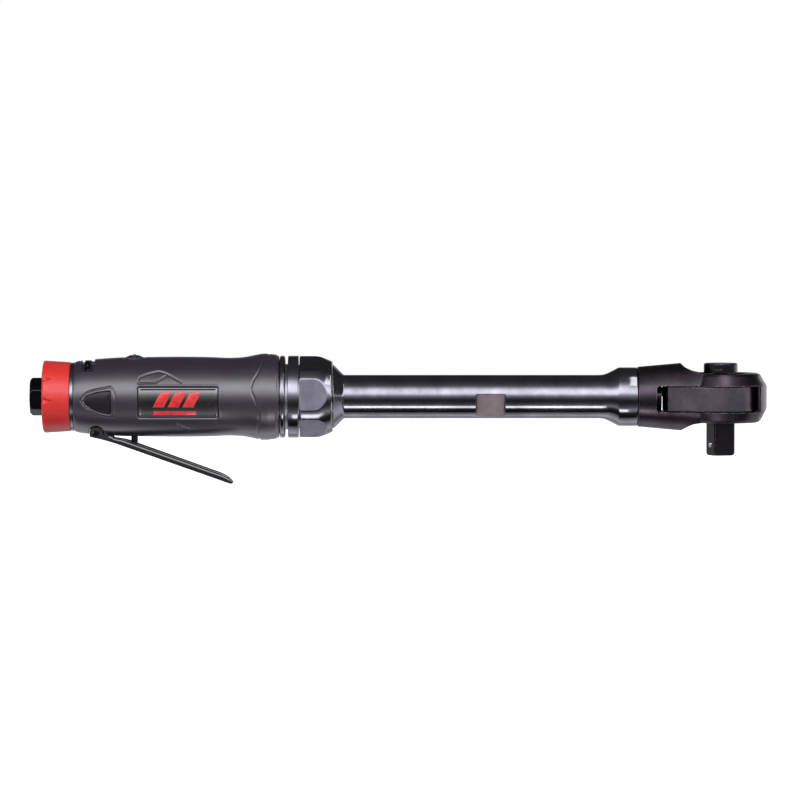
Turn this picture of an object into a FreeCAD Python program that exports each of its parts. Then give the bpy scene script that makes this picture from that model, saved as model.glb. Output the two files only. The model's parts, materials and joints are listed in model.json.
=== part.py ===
import FreeCAD, Part
import math
import os

# Long-reach air ratchet with a 1/2 inch square drive, in millimetres.
# +X runs along the tool's axis from the air inlet to the head and +Z is up, on the selector's side.
# The square drive points to -Z. The origin is the centre of the air inlet's mouth.

# ---- driving dimensions ----
RUN = 0.04  # radial clearance of a running fit

# rear end: inlet bushing, exhaust deflector, trim ring
HEX_AF = 19.0
HEX_LENGTH = 7.15
HEX_ROLL = 8.0  # leaves one corner close to the top
INLET_THREAD_R = 5.6
INLET_THREAD_LENGTH = 12.0
INLET_SHANK_R = 7.5
INLET_SHANK_END = 20.0
AIR_PASSAGE_R = 5.0
NECK_R = 9.0
DEFLECTOR_X = (7.3, 22.9)
DEFLECTOR_REAR_R = 20.45
DEFLECTOR_FRONT_R = 19.5
DEFLECTOR_CHAMBER_R = 17.9
DEFLECTOR_NOTCH_ANGLES = (-4.0, 32.0)  # above the horizontal, on each side
TRIM_RING_X = (23.1, 24.9)

# motor housing and grip
HOUSING_R = 18.9
HOUSING_BORE_R = 16.9
HOUSING_THREAD_R = 18.0
HOUSING_END = 158.4
MOTOR_START = 68.2
EXHAUST_HOLE_R = 1.8
EXHAUST_HOLE_PCR = 15.0
GRIP_PROFILE = [
    (25.3, 19.6),
    (27.4, 20.2),
    (31.0, 20.8),
    (37.6, 21.3),
    (51.0, 22.2),
    (67.0, 22.45),
    (85.0, 22.6),
    (102.0, 22.4),
    (114.0, 22.0),
    (122.0, 22.6),
    (128.0, 23.8),
    (132.5, 24.4),
    (136.5, 23.9),
    (139.6, 23.5),
]
BADGE_X = (61.6, 106.8)
BADGE_Z = (-11.4, 6.4)
BADGE_SEAT_R = 20.6
PAD_SEAT_R = 20.0
PAD_GROOVE_DEPTH = 0.5
PAD_SUNK = 0.45
PAD_OUTLINE = [
    (29.4, -1.2),
    (31.1, 1.6),
    (33.4, 3.5),
    (37.2, 4.9),
    (42.2, 5.9),
    (46.7, 6.9),
    (47.9, 5.2),
    (49.0, 2.2),
    (49.5, -1.8),
    (49.5, -9.9),
    (48.4, -10.9),
    (44.7, -10.8),
    (40.2, -9.9),
    (35.7, -7.6),
    (32.2, -5.4),
    (30.2, -3.4),
]
PAD_FIELD = [  # the pocket of the soft inlay, inside the moulded frame
    (30.4, -1.8),
    (32.4, 1.0),
    (36.9, 2.7),
    (41.4, 3.6),
    (46.4, 4.0),
    (46.6, -8.7),
    (45.4, -9.6),
    (40.2, -8.6),
    (35.7, -6.6),
    (32.3, -4.3),
]
SCREW_LEAN = 30.0
SCREW_SLOT_X = (29.7, 36.6)
SCREW_KEY_X = (31.3, 34.6)

# throttle valve, regulator and lever
VALVE_X = 58.9
VALVE_BORE_R = 5.0
STEM_R = 1.9
SEAT_Z = -8.0
REGULATOR_R = 5.9
REGULATOR_Z = 18.5
REGULATOR_TOP = 22.0
PIVOT_X = 37.6
PIVOT_Z = -20.3
LEVER_PIN_R = 1.5
LEVER_HALF_WIDTH = 8.0
LEVER_SHEET = 1.5
LEVER_SLOPE = 19.4
LEVER_LINE_X = 48.9  # a point on the underside of the straight handle
LEVER_LINE_Z = -26.35
EAR_R = 3.85

# air motor
CYLINDER_X = (76.0, 116.0)
CYLINDER_BORE_R = 13.2
CYLINDER_OFFSET = 1.65
ROTOR_R = 11.5
VANE_COUNT = 5
VANE_THICKNESS = 1.5

# planetary gear
GEAR_MODULE = 0.7
PRESSURE_ANGLE = 25.0
SUN_TEETH = 12
PLANET_TEETH = 15
RING_TEETH = 42
PLANET_COUNT = 3
PLANET_PIN_R = 1.95
GEAR_X = (124.6, 136.8)
PLANET_X = (125.4, 134.8)
BACKLASH = 0.05

# nose of the handle
FRONT_RING_X = (141.0, 144.1)
FRONT_RING_R = 23.2
LOCK_RING_X = (145.7, 151.6)
LOCK_RING_R = 23.15
NUT_X = (152.2, 170.8)
NUT_R = 22.95
NUT_AF = 42.2
NUT_ROLL = -5.0

# extension tube and drive line
TUBE_START = 151.5
TUBE_R = 12.3
TUBE_BORE_R = 8.5
TUBE_END = 342.8
COLLAR_R = 16.55
FLAT_X = (251.8, 268.1)
FLAT_DISTANCE = 10.35
FLAT_TILT = 24.0
SHAFT_R = 4.5
SHAFT_HEX_AF = 7.6
BUSH_STARTS = (154.0, 236.0, 312.0)
BUSH_LENGTH = 12.0

# ratchet head
SPIGOT_R = 12.5
SPIGOT_START = 328.0
NECK_START = 343.0
HEAD_X = 390.0
HEAD_DISC_X = 391.5
HEAD_DISC_R = 24.5
HEAD_TOP = 13.3
HEAD_BOTTOM = -14.4
HEAD_LAND_Z = (-6.0, 5.6)
WINDOW_X = (353.2, 411.8)
WINDOW_Z = (-8.3, 6.6)
CAVITY_R = 22.4
CRANK_ECCENTRIC = 2.8
CRANK_JOURNAL_R = 7.0
CRANK_BORE_R = 10.5
CRANK_PIN_R = 2.6
CRANK_BALL_R = 4.2
CRANK_BALL_X = 364.0
CRANK_SWEEP_R = 7.5
CRANK_WEB_R = 8.2
CRANK_WEB_END = 356.4
YOKE_Z = (-7.7, 6.0)
YOKE_RING_R = 21.5
YOKE_TEETH = 36
YOKE_TIP_R = 15.2
YOKE_ROOT_R = 16.6
YOKE_SLOT_HALF = 4.85
YOKE_TAIL_X = 359.6
YOKE_TAIL_HALF = 13.0
ANVIL_BORE_R = 11.0
ANVIL_FLANGE_R = 15.15
PAWL_PIN_AT = 9.6
PAWL_TIP_R = 14.3
PAWL_TILT = 5.0
SELECTOR_R = 9.55
SELECTOR_TOP = 19.0
SELECTOR_STEM_R = 4.0
PLUNGER_Z = -0.9
SQUARE = 12.7
SQUARE_END = -33.1
SQUARE_TURN = 19.0  # the square's rest angle about +Z
BALL_R = 2.1
BALL_AT = 5.15
BALL_Z = -26.9

ORIGIN = FreeCAD.Vector(0, 0, 0)
AXIS_X = FreeCAD.Vector(1, 0, 0)
AXIS_Y = FreeCAD.Vector(0, 1, 0)
AXIS_Z = FreeCAD.Vector(0, 0, 1)


# ---- small helpers ----
def vec(x, y, z):
    return FreeCAD.Vector(x, y, z)


def cyl_x(x0, x1, r, y=0.0, z=0.0):
    return Part.makeCylinder(r, x1 - x0, vec(x0, y, z), AXIS_X)


def cyl_y(y0, y1, r, x, z):
    return Part.makeCylinder(r, y1 - y0, vec(x, y0, z), AXIS_Y)


def cyl_z(z0, z1, r, x=HEAD_X, y=0.0):
    return Part.makeCylinder(r, z1 - z0, vec(x, y, z0), AXIS_Z)


def tube_x(x0, x1, r_out, r_in):
    return cyl_x(x0, x1, r_out).cut(cyl_x(x0 - 1, x1 + 1, r_in))


def ring_z(z0, z1, r_out, r_in, x=HEAD_X):
    return cyl_z(z0, z1, r_out, x).cut(cyl_z(z0 - 1, z1 + 1, r_in, x))


def box(x0, x1, y0, y1, z0, z1):
    return Part.makeBox(x1 - x0, y1 - y0, z1 - z0, vec(x0, y0, z0))


def face_of(points):
    return Part.Face(Part.makePolygon(points + [points[0]]))


def turned(profile):
    """Turn a closed outline of (x, radius) points around the tool's axis."""
    face = face_of([vec(x, 0, r) for x, r in profile])
    return face.revolve(ORIGIN, AXIS_X, 360)


def turned_curve(curve, r_inner):
    """Turn a smooth outer curve of (x, radius) points, closed at an inner radius."""
    spline = Part.BSplineCurve()
    spline.interpolate([vec(x, 0, r) for x, r in curve])
    first, last = curve[0], curve[-1]
    inner = [vec(last[0], 0, last[1]), vec(last[0], 0, r_inner)]
    inner += [vec(first[0], 0, r_inner), vec(first[0], 0, first[1])]
    wire = Part.Wire([spline.toShape()] + Part.makePolygon(inner).Edges)
    return Part.Face(wire).revolve(ORIGIN, AXIS_X, 360)


def prism_x(points, x0, x1):
    face = face_of([vec(x0, y, z) for y, z in points])
    return face.extrude(vec(x1 - x0, 0, 0))


def prism_y(points, y0, y1):
    face = face_of([vec(x, y0, z) for x, z in points])
    return face.extrude(vec(0, y1 - y0, 0))


def prism_z(points, z0, z1):
    face = face_of([vec(x, y, z0) for x, y in points])
    return face.extrude(vec(0, 0, z1 - z0))


def polar(r, degrees):
    return (r * math.cos(math.radians(degrees)), r * math.sin(math.radians(degrees)))


def hexagon(across_flats, roll):
    """Corners of a hexagon whose first flat's normal is at the roll angle."""
    return [polar(across_flats / math.sqrt(3), roll + 30 + 60 * k) for k in range(6)]


def turn_x(shape, degrees):
    out = shape.copy()
    out.rotate(ORIGIN, AXIS_X, degrees)
    return out


def turn_head(shape, degrees):
    """Turn a shape about the head's own axis."""
    out = shape.copy()
    out.rotate(vec(HEAD_X, 0, 0), AXIS_Z, degrees)
    return out


def both_sides(shape):
    """A shape on the near side and its mirror image on the far side."""
    return [shape, shape.mirror(ORIGIN, AXIS_Y)]


def fused(shapes):
    return shapes[0].multiFuse(shapes[1:]).removeSplitter()


def group(shapes):
    return Part.makeCompound([s for shape in shapes for s in shape.Solids])


def spring(centre, direction, length, radius, wire_r, coils):
    """A coil spring from a centre point along a direction."""
    helix = Part.makeHelix(length / coils, length, radius)
    ring = Part.Wire(Part.makeCircle(wire_r, vec(radius, 0, 0), AXIS_Y))
    coil = Part.Wire(helix.Edges).makePipeShell([ring], True, True)
    placement = FreeCAD.Placement(centre, FreeCAD.Rotation(AXIS_Z, direction))
    coil.Placement = placement
    return coil


def bearing_x(x0, x1, r_out, r_in):
    """A closed ball bearing with the gap between its rings on both faces."""
    body = tube_x(x0, x1, r_out, r_in + RUN)
    mid = (r_out + r_in) / 2
    gap = tube_x(x0 - 1, x0 + 0.4, mid + 0.8, mid - 0.8)
    far_gap = tube_x(x1 - 0.4, x1 + 1, mid + 0.8, mid - 0.8)
    return body.cut(gap).cut(far_gap)


# ---- gears ----
def involute(angle):
    return math.tan(angle) - angle


def gear_outline(teeth, r_root, r_tip, thinning, phase):
    """Outline of a gear in the YZ plane with one tooth centred on the phase angle."""
    pressure = math.radians(PRESSURE_ANGLE)
    r_pitch = GEAR_MODULE * teeth / 2
    r_base = r_pitch * math.cos(pressure)
    half = math.pi / (2 * teeth) - thinning / (2 * r_pitch) + involute(pressure)
    r_start = max(r_root, r_base)
    flank = [(r_root, half - involute(math.acos(min(1, r_base / r_start))))]
    for k in range(5):
        r = r_start + (r_tip - r_start) * k / 4
        flank.append((r, half - involute(math.acos(min(1, r_base / r)))))
    if r_root >= r_base:
        flank = flank[1:]
    points = []
    for n in range(teeth):
        middle = math.radians(phase) + 2 * math.pi * n / teeth
        for side, order in ((-1, flank), (1, flank[::-1])):
            points += [
                (r * math.cos(middle + side * a), r * math.sin(middle + side * a))
                for r, a in order
            ]
    return points


def sun_gear(x0, x1):
    r = GEAR_MODULE * SUN_TEETH / 2
    outline = gear_outline(
        SUN_TEETH, r - 1.25 * GEAR_MODULE, r + GEAR_MODULE, BACKLASH, 90
    )
    return prism_x(outline, x0, x1)


def ring_gear():
    r = GEAR_MODULE * RING_TEETH / 2
    space = gear_outline(
        RING_TEETH, r - GEAR_MODULE, r + 1.25 * GEAR_MODULE, -BACKLASH, 90
    )
    return cyl_x(*GEAR_X, HOUSING_BORE_R).cut(prism_x(space, 120, 140))


def planet_angles():
    return [90 + 360 * k / PLANET_COUNT for k in range(PLANET_COUNT)]


def planet_centre(angle):
    return polar(GEAR_MODULE * (SUN_TEETH + PLANET_TEETH) / 2, angle)


def planet(index):
    angle = planet_angles()[index]
    y, z = planet_centre(angle)
    r = GEAR_MODULE * PLANET_TEETH / 2
    outline = gear_outline(
        PLANET_TEETH, r - 1.25 * GEAR_MODULE, r + GEAR_MODULE, BACKLASH, angle
    )
    wheel = prism_x(outline, *PLANET_X).cut(cyl_x(120, 140, PLANET_PIN_R + RUN))
    wheel.translate(vec(0, y, z))
    return wheel


# ---- rear end ----
def inlet_bushing():
    hexagonal = prism_x(hexagon(HEX_AF, HEX_ROLL), 0, HEX_LENGTH)
    rounded = turned([(0, 0), (0, 9.7), (1.2, 11.2), (7.15, 11.2), (7.15, 0)])
    shank = cyl_x(HEX_LENGTH, INLET_SHANK_END, INLET_SHANK_R)
    body = fused([hexagonal.common(rounded), shank])
    thread = cyl_x(-1, INLET_THREAD_LENGTH, INLET_THREAD_R)
    passage = cyl_x(INLET_THREAD_LENGTH - 1, 21, 4.6)
    return body.cut(thread).cut(passage)


def inlet_screen():
    disc = cyl_x(20.0, 20.8, 6.5)
    holes = [cyl_x(19, 22, 1.2)]
    for k in range(6):
        holes.append(cyl_x(19, 22, 1.2, *polar(3.6, 60 * k)))
    return disc.cut(group(holes))


def deflector_notch(angle):
    """A wedge cut from the rear rim, as wide as it is at the rear and pointed in front."""
    x0 = DEFLECTOR_X[0]
    wedge = prism_z([(x0 - 1, -2.6), (x0 - 1, 2.6), (x0 + 5.6, 0)], 15.5, 23)
    return turn_x(wedge, 90 - angle)


def exhaust_deflector():
    x0, x1 = DEFLECTOR_X
    shell = turned(
        [
            (x0, NECK_R + RUN),
            (x0, 18.9),
            (x0 + 0.5, 20.0),
            (x0 + 1.4, DEFLECTOR_REAR_R),
            (x1, DEFLECTOR_FRONT_R),
            (x1, DEFLECTOR_CHAMBER_R),
            (x0 + 2.4, DEFLECTOR_CHAMBER_R),
            (x0 + 2.4, NECK_R + RUN),
        ]
    )
    notches = [deflector_notch(a) for a in DEFLECTOR_NOTCH_ANGLES]
    notches += [deflector_notch(180 - a) for a in DEFLECTOR_NOTCH_ANGLES]
    return shell.cut(group(notches))


def trim_ring():
    return tube_x(*TRIM_RING_X, 19.3, 17.2)


def silencer():
    return tube_x(11.5, 21.5, 17.2, 12.8)


# ---- housing and grip ----
def lever_lug():
    block = box(PIVOT_X - 3, PIVOT_X + 3, -6.2, 6.2, PIVOT_Z, -17)
    return block.fuse(cyl_y(-6.2, 6.2, 3.0, PIVOT_X, PIVOT_Z))


def ear_pockets():
    pocket = cyl_y(-9.5, -6.2, EAR_R + 0.4, PIVOT_X, PIVOT_Z)
    return both_sides(pocket)


def motor_housing():
    outer = turned(
        [
            (7.25, 0),
            (7.25, NECK_R),
            (9.9, NECK_R),
            (9.9, 12.8),
            (22.4, 12.8),
            (22.4, 17.2),
            (24.9, 17.2),
            (24.9, HOUSING_R),
            (144.1, HOUSING_R),
            (144.1, 18.5),
            (145.6, 18.5),
            (145.6, HOUSING_THREAD_R),
            (HOUSING_END, HOUSING_THREAD_R),
            (HOUSING_END, 0),
        ]
    )
    cuts = [
        cyl_x(7, INLET_SHANK_END, INLET_SHANK_R),
        cyl_x(INLET_SHANK_END - 1, 20.8, 6.5),
        cyl_x(20, VALVE_X, AIR_PASSAGE_R),
        cyl_x(MOTOR_START, HOUSING_END + 1, HOUSING_BORE_R),
        cyl_z(-20, 20, VALVE_BORE_R, VALVE_X),
        cyl_z(REGULATOR_Z - 0.1, 20, REGULATOR_R + 0.6, VALVE_X),
        cyl_x(VALVE_X, MOTOR_START + 1, 2.0, 0, -11.2),
        cyl_y(-7, 7, LEVER_PIN_R, PIVOT_X, PIVOT_Z),
    ]
    for k in range(4):
        at = polar(EXHAUST_HOLE_PCR, 45 + 90 * k)
        cuts.append(cyl_x(22, MOTOR_START + 1, EXHAUST_HOLE_R, *at))
    return outer.fuse(lever_lug()).cut(group(cuts + ear_pockets()))


def grip_blank(shrink=0.0):
    return turned_curve([(x, r - shrink) for x, r in GRIP_PROFILE], HOUSING_R)


def side_block(points, seat_r):
    """The part of a side outline that lies outside a seat radius, on the near side."""
    return prism_y(points, -30, -5).cut(cyl_x(20, 145, seat_r))


def badge_block():
    (x0, x1), (z0, z1) = BADGE_X, BADGE_Z
    return side_block([(x0, z0), (x1, z0), (x1, z1), (x0, z1)], BADGE_SEAT_R)


def screw_sector(x_range, degrees_range, r0, r1):
    """A block between two radii and two heights, in degrees above the near side."""
    low, high = degrees_range
    corners = [(0.0, 0.0)]
    for degrees in (low, (low + high) / 2, high):
        out, up = polar(40.0, degrees)
        corners.append((-out, up))
    wedge = prism_x(corners, *x_range)
    return wedge.common(tube_x(*x_range, r1, r0))


def screw_recess(r, r0, r1):
    """A round hole that stands radially in the grip key."""
    return turn_x(cyl_z(r0, r1, r, sum(SCREW_KEY_X) / 2), SCREW_LEAN)


def lever_slots():
    """Grooves under the grip that take the lever's side flanges when it is squeezed."""
    return both_sides(box(41.0, 63.0, -8.4, -6.1, -24, -19.0))


def grip_sleeve():
    ends = [tube_x(24.9, 25.4, 19.6, HOUSING_R), tube_x(139.5, 140.6, 23.3, HOUSING_R)]
    body = fused([grip_blank()] + ends)
    cuts = both_sides(badge_block()) + both_sides(pad_pocket())
    cuts += lever_slots()
    cuts += [
        cyl_y(-14, 14, 4.4, PIVOT_X, PIVOT_Z),
        cyl_z(-30, -15, 3.2, VALVE_X),
        cyl_z(15, 30, REGULATOR_R + 0.6, VALVE_X),
        screw_sector(SCREW_SLOT_X, (46, 111), 18, 26),
    ]
    return body.cut(group(cuts))


def badges():
    plate = badge_block().common(cyl_x(50, 120, 21.7))
    return group(both_sides(plate))


def pad_pocket():
    """The inlay's pocket and the groove that frames it."""
    frame = prism_y(PAD_OUTLINE, -30, -5)
    middle = vec(40.2, 0, -2.4)
    core = frame.copy()
    core.scale(0.94, middle)
    return side_block(PAD_FIELD, PAD_SEAT_R).fuse(
        frame.cut(core).cut(grip_blank(PAD_GROOVE_DEPTH))
    )


def grip_pads():
    block = side_block(PAD_FIELD, PAD_SEAT_R)
    middle = vec(39.8, 0, -2.8)
    block.scale(0.985, middle)
    block = block.cut(cyl_x(20, 145, PAD_SEAT_R))
    return group(both_sides(block.common(grip_blank(PAD_SUNK))))


def grip_screw():
    """The key that holds the grip on the housing, with its hexagon-socket set screw."""
    key = screw_sector(SCREW_KEY_X, (49.5, 107.5), HOUSING_R, 20.6)
    return key.cut(screw_recess(1.0, 19.6, 22))


def front_ring():
    x0, x1 = FRONT_RING_X
    r = FRONT_RING_R
    return turned(
        [
            (x0, HOUSING_R),
            (x0, r - 0.4),
            (x0 + 0.4, r),
            (x1 - 0.4, r),
            (x1, r - 0.4),
            (x1, HOUSING_R),
        ]
    )


def lock_ring():
    x0, x1 = LOCK_RING_X
    r = LOCK_RING_R
    return turned(
        [
            (x0, HOUSING_THREAD_R),
            (x0, r - 0.3),
            (x0 + 0.3, r),
            (x1 - 0.3, r),
            (x1, r - 0.3),
            (x1, HOUSING_THREAD_R),
        ]
    )


def clamp_nut():
    x0, x1 = NUT_X
    body = turned(
        [
            (x0, HOUSING_THREAD_R),
            (x0, 22.6),
            (x0 + 0.4, NUT_R),
            (160.9, NUT_R),
            (163.7, 22.65),
            (166.3, 21.8),
            (168.6, 20.85),
            (170.3, 20.15),
            (x1, 19.6),
            (x1, 17.1),
            (165.3, 17.1),
            (165.3, HOUSING_THREAD_R),
        ]
    )
    return body.common(prism_x(hexagon(NUT_AF, NUT_ROLL), x0 - 1, x1 + 1))


# ---- throttle valve, regulator and lever ----
def web_top(x):
    """Height of the lever's inner floor at rest."""
    slope = math.radians(LEVER_SLOPE)
    underside = LEVER_LINE_Z - (x - LEVER_LINE_X) * math.tan(slope)
    return underside + LEVER_SHEET / math.cos(slope)


def valve_bushing():
    body = cyl_z(-18.1, SEAT_Z, VALVE_BORE_R, VALVE_X)
    guide = cyl_z(-20, -13, STEM_R + RUN, VALVE_X)
    chamber = cyl_z(-14, SEAT_Z + 1, 3.4, VALVE_X)
    port = cyl_x(VALVE_X, VALVE_X + 6, 2.0, 0, -11.2)
    return body.cut(guide).cut(chamber).cut(port)


def throttle_stem():
    tip_z = web_top(VALVE_X) + (STEM_R + 0.12) / math.cos(math.radians(LEVER_SLOPE))
    rod = cyl_z(tip_z, -2.5, STEM_R, VALVE_X)
    tip = Part.makeSphere(STEM_R, vec(VALVE_X, 0, tip_z))
    head = Part.makeCone(4.1, 4.6, 0.8, vec(VALVE_X, 0, SEAT_Z + 0.05), AXIS_Z)
    disc = cyl_z(SEAT_Z + 0.85, -5.6, 4.6, VALVE_X)
    return fused([rod, tip, head, disc])


def valve_spring():
    return spring(vec(VALVE_X, 0, -5.1), AXIS_Z, 13.8, 3.4, 0.4, 6)


def regulator_dial():
    knob = cyl_z(REGULATOR_Z, REGULATOR_TOP, REGULATOR_R, VALVE_X)
    dome = Part.makeCone(REGULATOR_R, 2.4, 1.5, vec(VALVE_X, 0, REGULATOR_TOP), AXIS_Z)
    ridge = box(VALVE_X - 0.7, VALVE_X + 0.7, -3.6, 3.6, REGULATOR_TOP, 23.9)
    shaft = cyl_z(9.3, REGULATOR_Z, VALVE_BORE_R - RUN, VALVE_X)
    pocket = cyl_z(9, 12, 2.4, VALVE_X)
    return fused([knob, dome, ridge, shaft]).cut(pocket)


def lever_side():
    """Side outline of the lever's flanges, from the ear to the handle's tip."""
    return [
        (33.7, -20.4),
        (33.9, -22.4),
        (41.4, -24.1),
        (46.4, -25.6),
        (LEVER_LINE_X, LEVER_LINE_Z),
        (111.6, -48.43),
        (113.6, -49.0),
        (114.7, -48.6),
        (114.6, -47.9),
        (112.6, -46.1),
        (110.4, -44.6),
        (107.6, -43.2),
        (60.7, -26.4),
        (56.5, -24.8),
        (53.6, -24.0),
        (47.4, -23.1),
        (46.4, -21.6),
        (43.4, -20.9),
        (41.0, -20.3),
    ]


def throttle_lever():
    w = LEVER_HALF_WIDTH
    inner = w - LEVER_SHEET
    plates = prism_y(lever_side(), -w, w)
    ears = cyl_y(-w, w, EAR_R, PIVOT_X, PIVOT_Z)
    trough = prism_y(
        [
            (30, -16),
            (30, -30),
            (43.2, -30),
            (43.2, web_top(LEVER_LINE_X) + 1.1),
            (LEVER_LINE_X, web_top(LEVER_LINE_X)),
            (111.0, web_top(111.0)),
            (113.0, -42.5),
            (60, -16),
        ],
        -inner,
        inner,
    )
    hole = cyl_y(-w - 1, w + 1, LEVER_PIN_R + RUN, PIVOT_X, PIVOT_Z)
    return plates.fuse(ears).cut(trough).cut(hole).removeSplitter()


def lever_pin():
    pin = cyl_y(-8.6, 8.6, LEVER_PIN_R, PIVOT_X, PIVOT_Z)
    heads = [
        cyl_y(8.2, 8.9, 2.1, PIVOT_X, PIVOT_Z),
        cyl_y(-8.9, -8.2, 2.1, PIVOT_X, PIVOT_Z),
    ]
    return fused([pin] + heads)


# ---- air motor ----
def rear_end_plate():
    plate = cyl_x(MOTOR_START, CYLINDER_X[0], HOUSING_BORE_R)
    cuts = [cyl_x(70, 75, 8.0), cyl_x(69.4, 77, 5.0), cyl_x(68, 77, 2.0, 0, -11.2)]
    for k in range(4):
        at = polar(EXHAUST_HOLE_PCR, 45 + 90 * k)
        cuts.append(cyl_x(68, 77, EXHAUST_HOLE_R, *at))
    return plate.cut(fused(cuts))


def rear_bearing():
    return bearing_x(70, 75, 8.0, 3.0)


def cylinder():
    x0, x1 = CYLINDER_X
    body = cyl_x(x0, x1, HOUSING_BORE_R)
    cuts = [cyl_x(x0 - 1, x1 + 1, CYLINDER_BORE_R, 0, CYLINDER_OFFSET)]
    for angle in (45, 135):
        groove = cyl_x(x0 - 1, 110, 1.5, *polar(HOUSING_BORE_R, angle))
        ports = [cyl_z(12, 18, 1.3, x0 + 8 + 8 * k) for k in range(4)]
        cuts += [groove] + [turn_x(port, angle - 90) for port in ports]
    return body.cut(fused(cuts))


def rotor_slots():
    slot = box(70, 120, -VANE_THICKNESS / 2 - 0.03, VANE_THICKNESS / 2 + 0.03, 4.6, 13)
    return [turn_x(slot, 360 * k / VANE_COUNT) for k in range(VANE_COUNT)]


def rotor():
    x0, x1 = CYLINDER_X
    drum = cyl_x(x0 + 0.15, x1 - 0.15, ROTOR_R).cut(group(rotor_slots()))
    rear_shaft = cyl_x(69.8, x0 + 1, 3.0)
    front_shaft = cyl_x(x1 - 1, GEAR_X[0] + 0.4, 3.2)
    return fused([drum, rear_shaft, front_shaft, sun_gear(GEAR_X[0] + 0.4, 135)])


def vanes():
    half = VANE_THICKNESS / 2
    vane = box(CYLINDER_X[0] + 0.4, CYLINDER_X[1] - 0.4, -half, half, 4.8, ROTOR_R - 0.1)
    return group([turn_x(vane, 360 * k / VANE_COUNT) for k in range(VANE_COUNT)])


def front_end_plate():
    plate = cyl_x(CYLINDER_X[1], GEAR_X[0], HOUSING_BORE_R)
    return plate.cut(cyl_x(118, 126, 8.0)).cut(cyl_x(115, 119, 5.0))


def front_bearing():
    return bearing_x(118, 123.4, 8.0, 3.2)


# ---- planetary gear and drive line ----
def gear_spacer():
    return tube_x(GEAR_X[1], 142.5, HOUSING_BORE_R, 14.6)


def hex_bar(x0, x1):
    return prism_x(hexagon(SHAFT_HEX_AF, 0), x0, x1)


def planet_carrier():
    disc = cyl_x(135.4, 141, 13.4)
    stub = cyl_x(140, 153, 7.0)
    holes = [
        cyl_x(130, 150, PLANET_PIN_R, *planet_centre(a)) for a in planet_angles()
    ]
    return disc.fuse(stub).cut(group(holes)).cut(hex_bar(145, 155)).removeSplitter()


def planet_pins():
    pins = [
        cyl_x(124.8, 140.8, PLANET_PIN_R, *planet_centre(a)) for a in planet_angles()
    ]
    return group(pins)


def carrier_bearing():
    return bearing_x(142.5, TUBE_START, HOUSING_BORE_R, 7.0)


def drive_shaft():
    round_part = cyl_x(153.3, 329.5, SHAFT_R)
    return fused([hex_bar(145.5, 154), round_part, hex_bar(329, 341)])


def crankshaft():
    journal = cyl_x(330, 350.4, CRANK_JOURNAL_R)
    web = cyl_x(350.4, CRANK_WEB_END, CRANK_WEB_R)
    pin = cyl_x(353, 367, CRANK_PIN_R, 0, CRANK_ECCENTRIC)
    return fused([journal, web, pin]).cut(hex_bar(329, 341.2))


def crank_roller():
    """The barrel-shaped bush on the crank pin that fills the yoke's slot."""
    ball = Part.makeSphere(CRANK_BALL_R, vec(CRANK_BALL_X, 0, CRANK_ECCENTRIC))
    barrel = ball.common(box(361, 367, -9, 9, -9, 9))
    return barrel.cut(cyl_x(350, 370, CRANK_PIN_R, 0, CRANK_ECCENTRIC))


# ---- extension tube ----
def wrench_flat(angle):
    """The block that mills one wrench flat, with rounded ends."""
    block = box(*FLAT_X, -20, 20, FLAT_DISTANCE, 20)
    rounded = block.makeFillet(1.5, [e for e in block.Edges if is_flat_end(e)])
    return turn_x(rounded, angle)


def is_flat_end(edge):
    bounds = edge.BoundBox
    return bounds.YLength > 30 and bounds.ZMax < FLAT_DISTANCE + 0.1


def extension_tube():
    outer = turned(
        [
            (TUBE_START, TUBE_BORE_R),
            (TUBE_START, HOUSING_BORE_R),
            (163.0, HOUSING_BORE_R),
            (163.0, 15.2),
            (165.0, 15.2),
            (165.0, HOUSING_BORE_R),
            (170.9, HOUSING_BORE_R),
            (170.9, 18.1),
            (171.3, 18.1),
            (174.9, 14.5),
            (176.8, 12.7),
            (178.0, TUBE_R),
            (322.3, TUBE_R),
            (324.6, 12.7),
            (327.0, 13.8),
            (332.0, 16.35),
            (332.5, COLLAR_R),
            (TUBE_END - 0.4, COLLAR_R),
            (TUBE_END, 16.2),
            (TUBE_END, SPIGOT_R),
            (SPIGOT_START, SPIGOT_R),
            (SPIGOT_START, TUBE_BORE_R),
        ]
    )
    flats = [wrench_flat(90 + FLAT_TILT), wrench_flat(270 + FLAT_TILT)]
    return outer.cut(group(flats))


def tube_snap_ring():
    return tube_x(163.1, 164.9, 17.6, 15.2).cut(box(160, 168, -2, 2, 0, 20))


def shaft_bushings():
    sleeves = [
        tube_x(x, x + BUSH_LENGTH, TUBE_BORE_R, SHAFT_R + RUN) for x in BUSH_STARTS
    ]
    return group(sleeves)


# ---- ratchet head ----
def head_side_outline():
    """Side outline that gives the head its flat top, flat underside and concave shoulders."""
    top = [(366.9, 19.4), (368.6, 17.6), (370.8, 16.0), (374.0, 14.5), (378.5, HEAD_TOP)]
    bottom = [
        (378.0, HEAD_BOTTOM),
        (374.0, -15.1),
        (370.8, -16.6),
        (368.6, -18.0),
        (366.6, -19.6),
    ]
    rear = [(340, -19.6), (340, 19.4)]
    return top + [(420, HEAD_TOP), (420, HEAD_BOTTOM)] + bottom + rear


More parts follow.
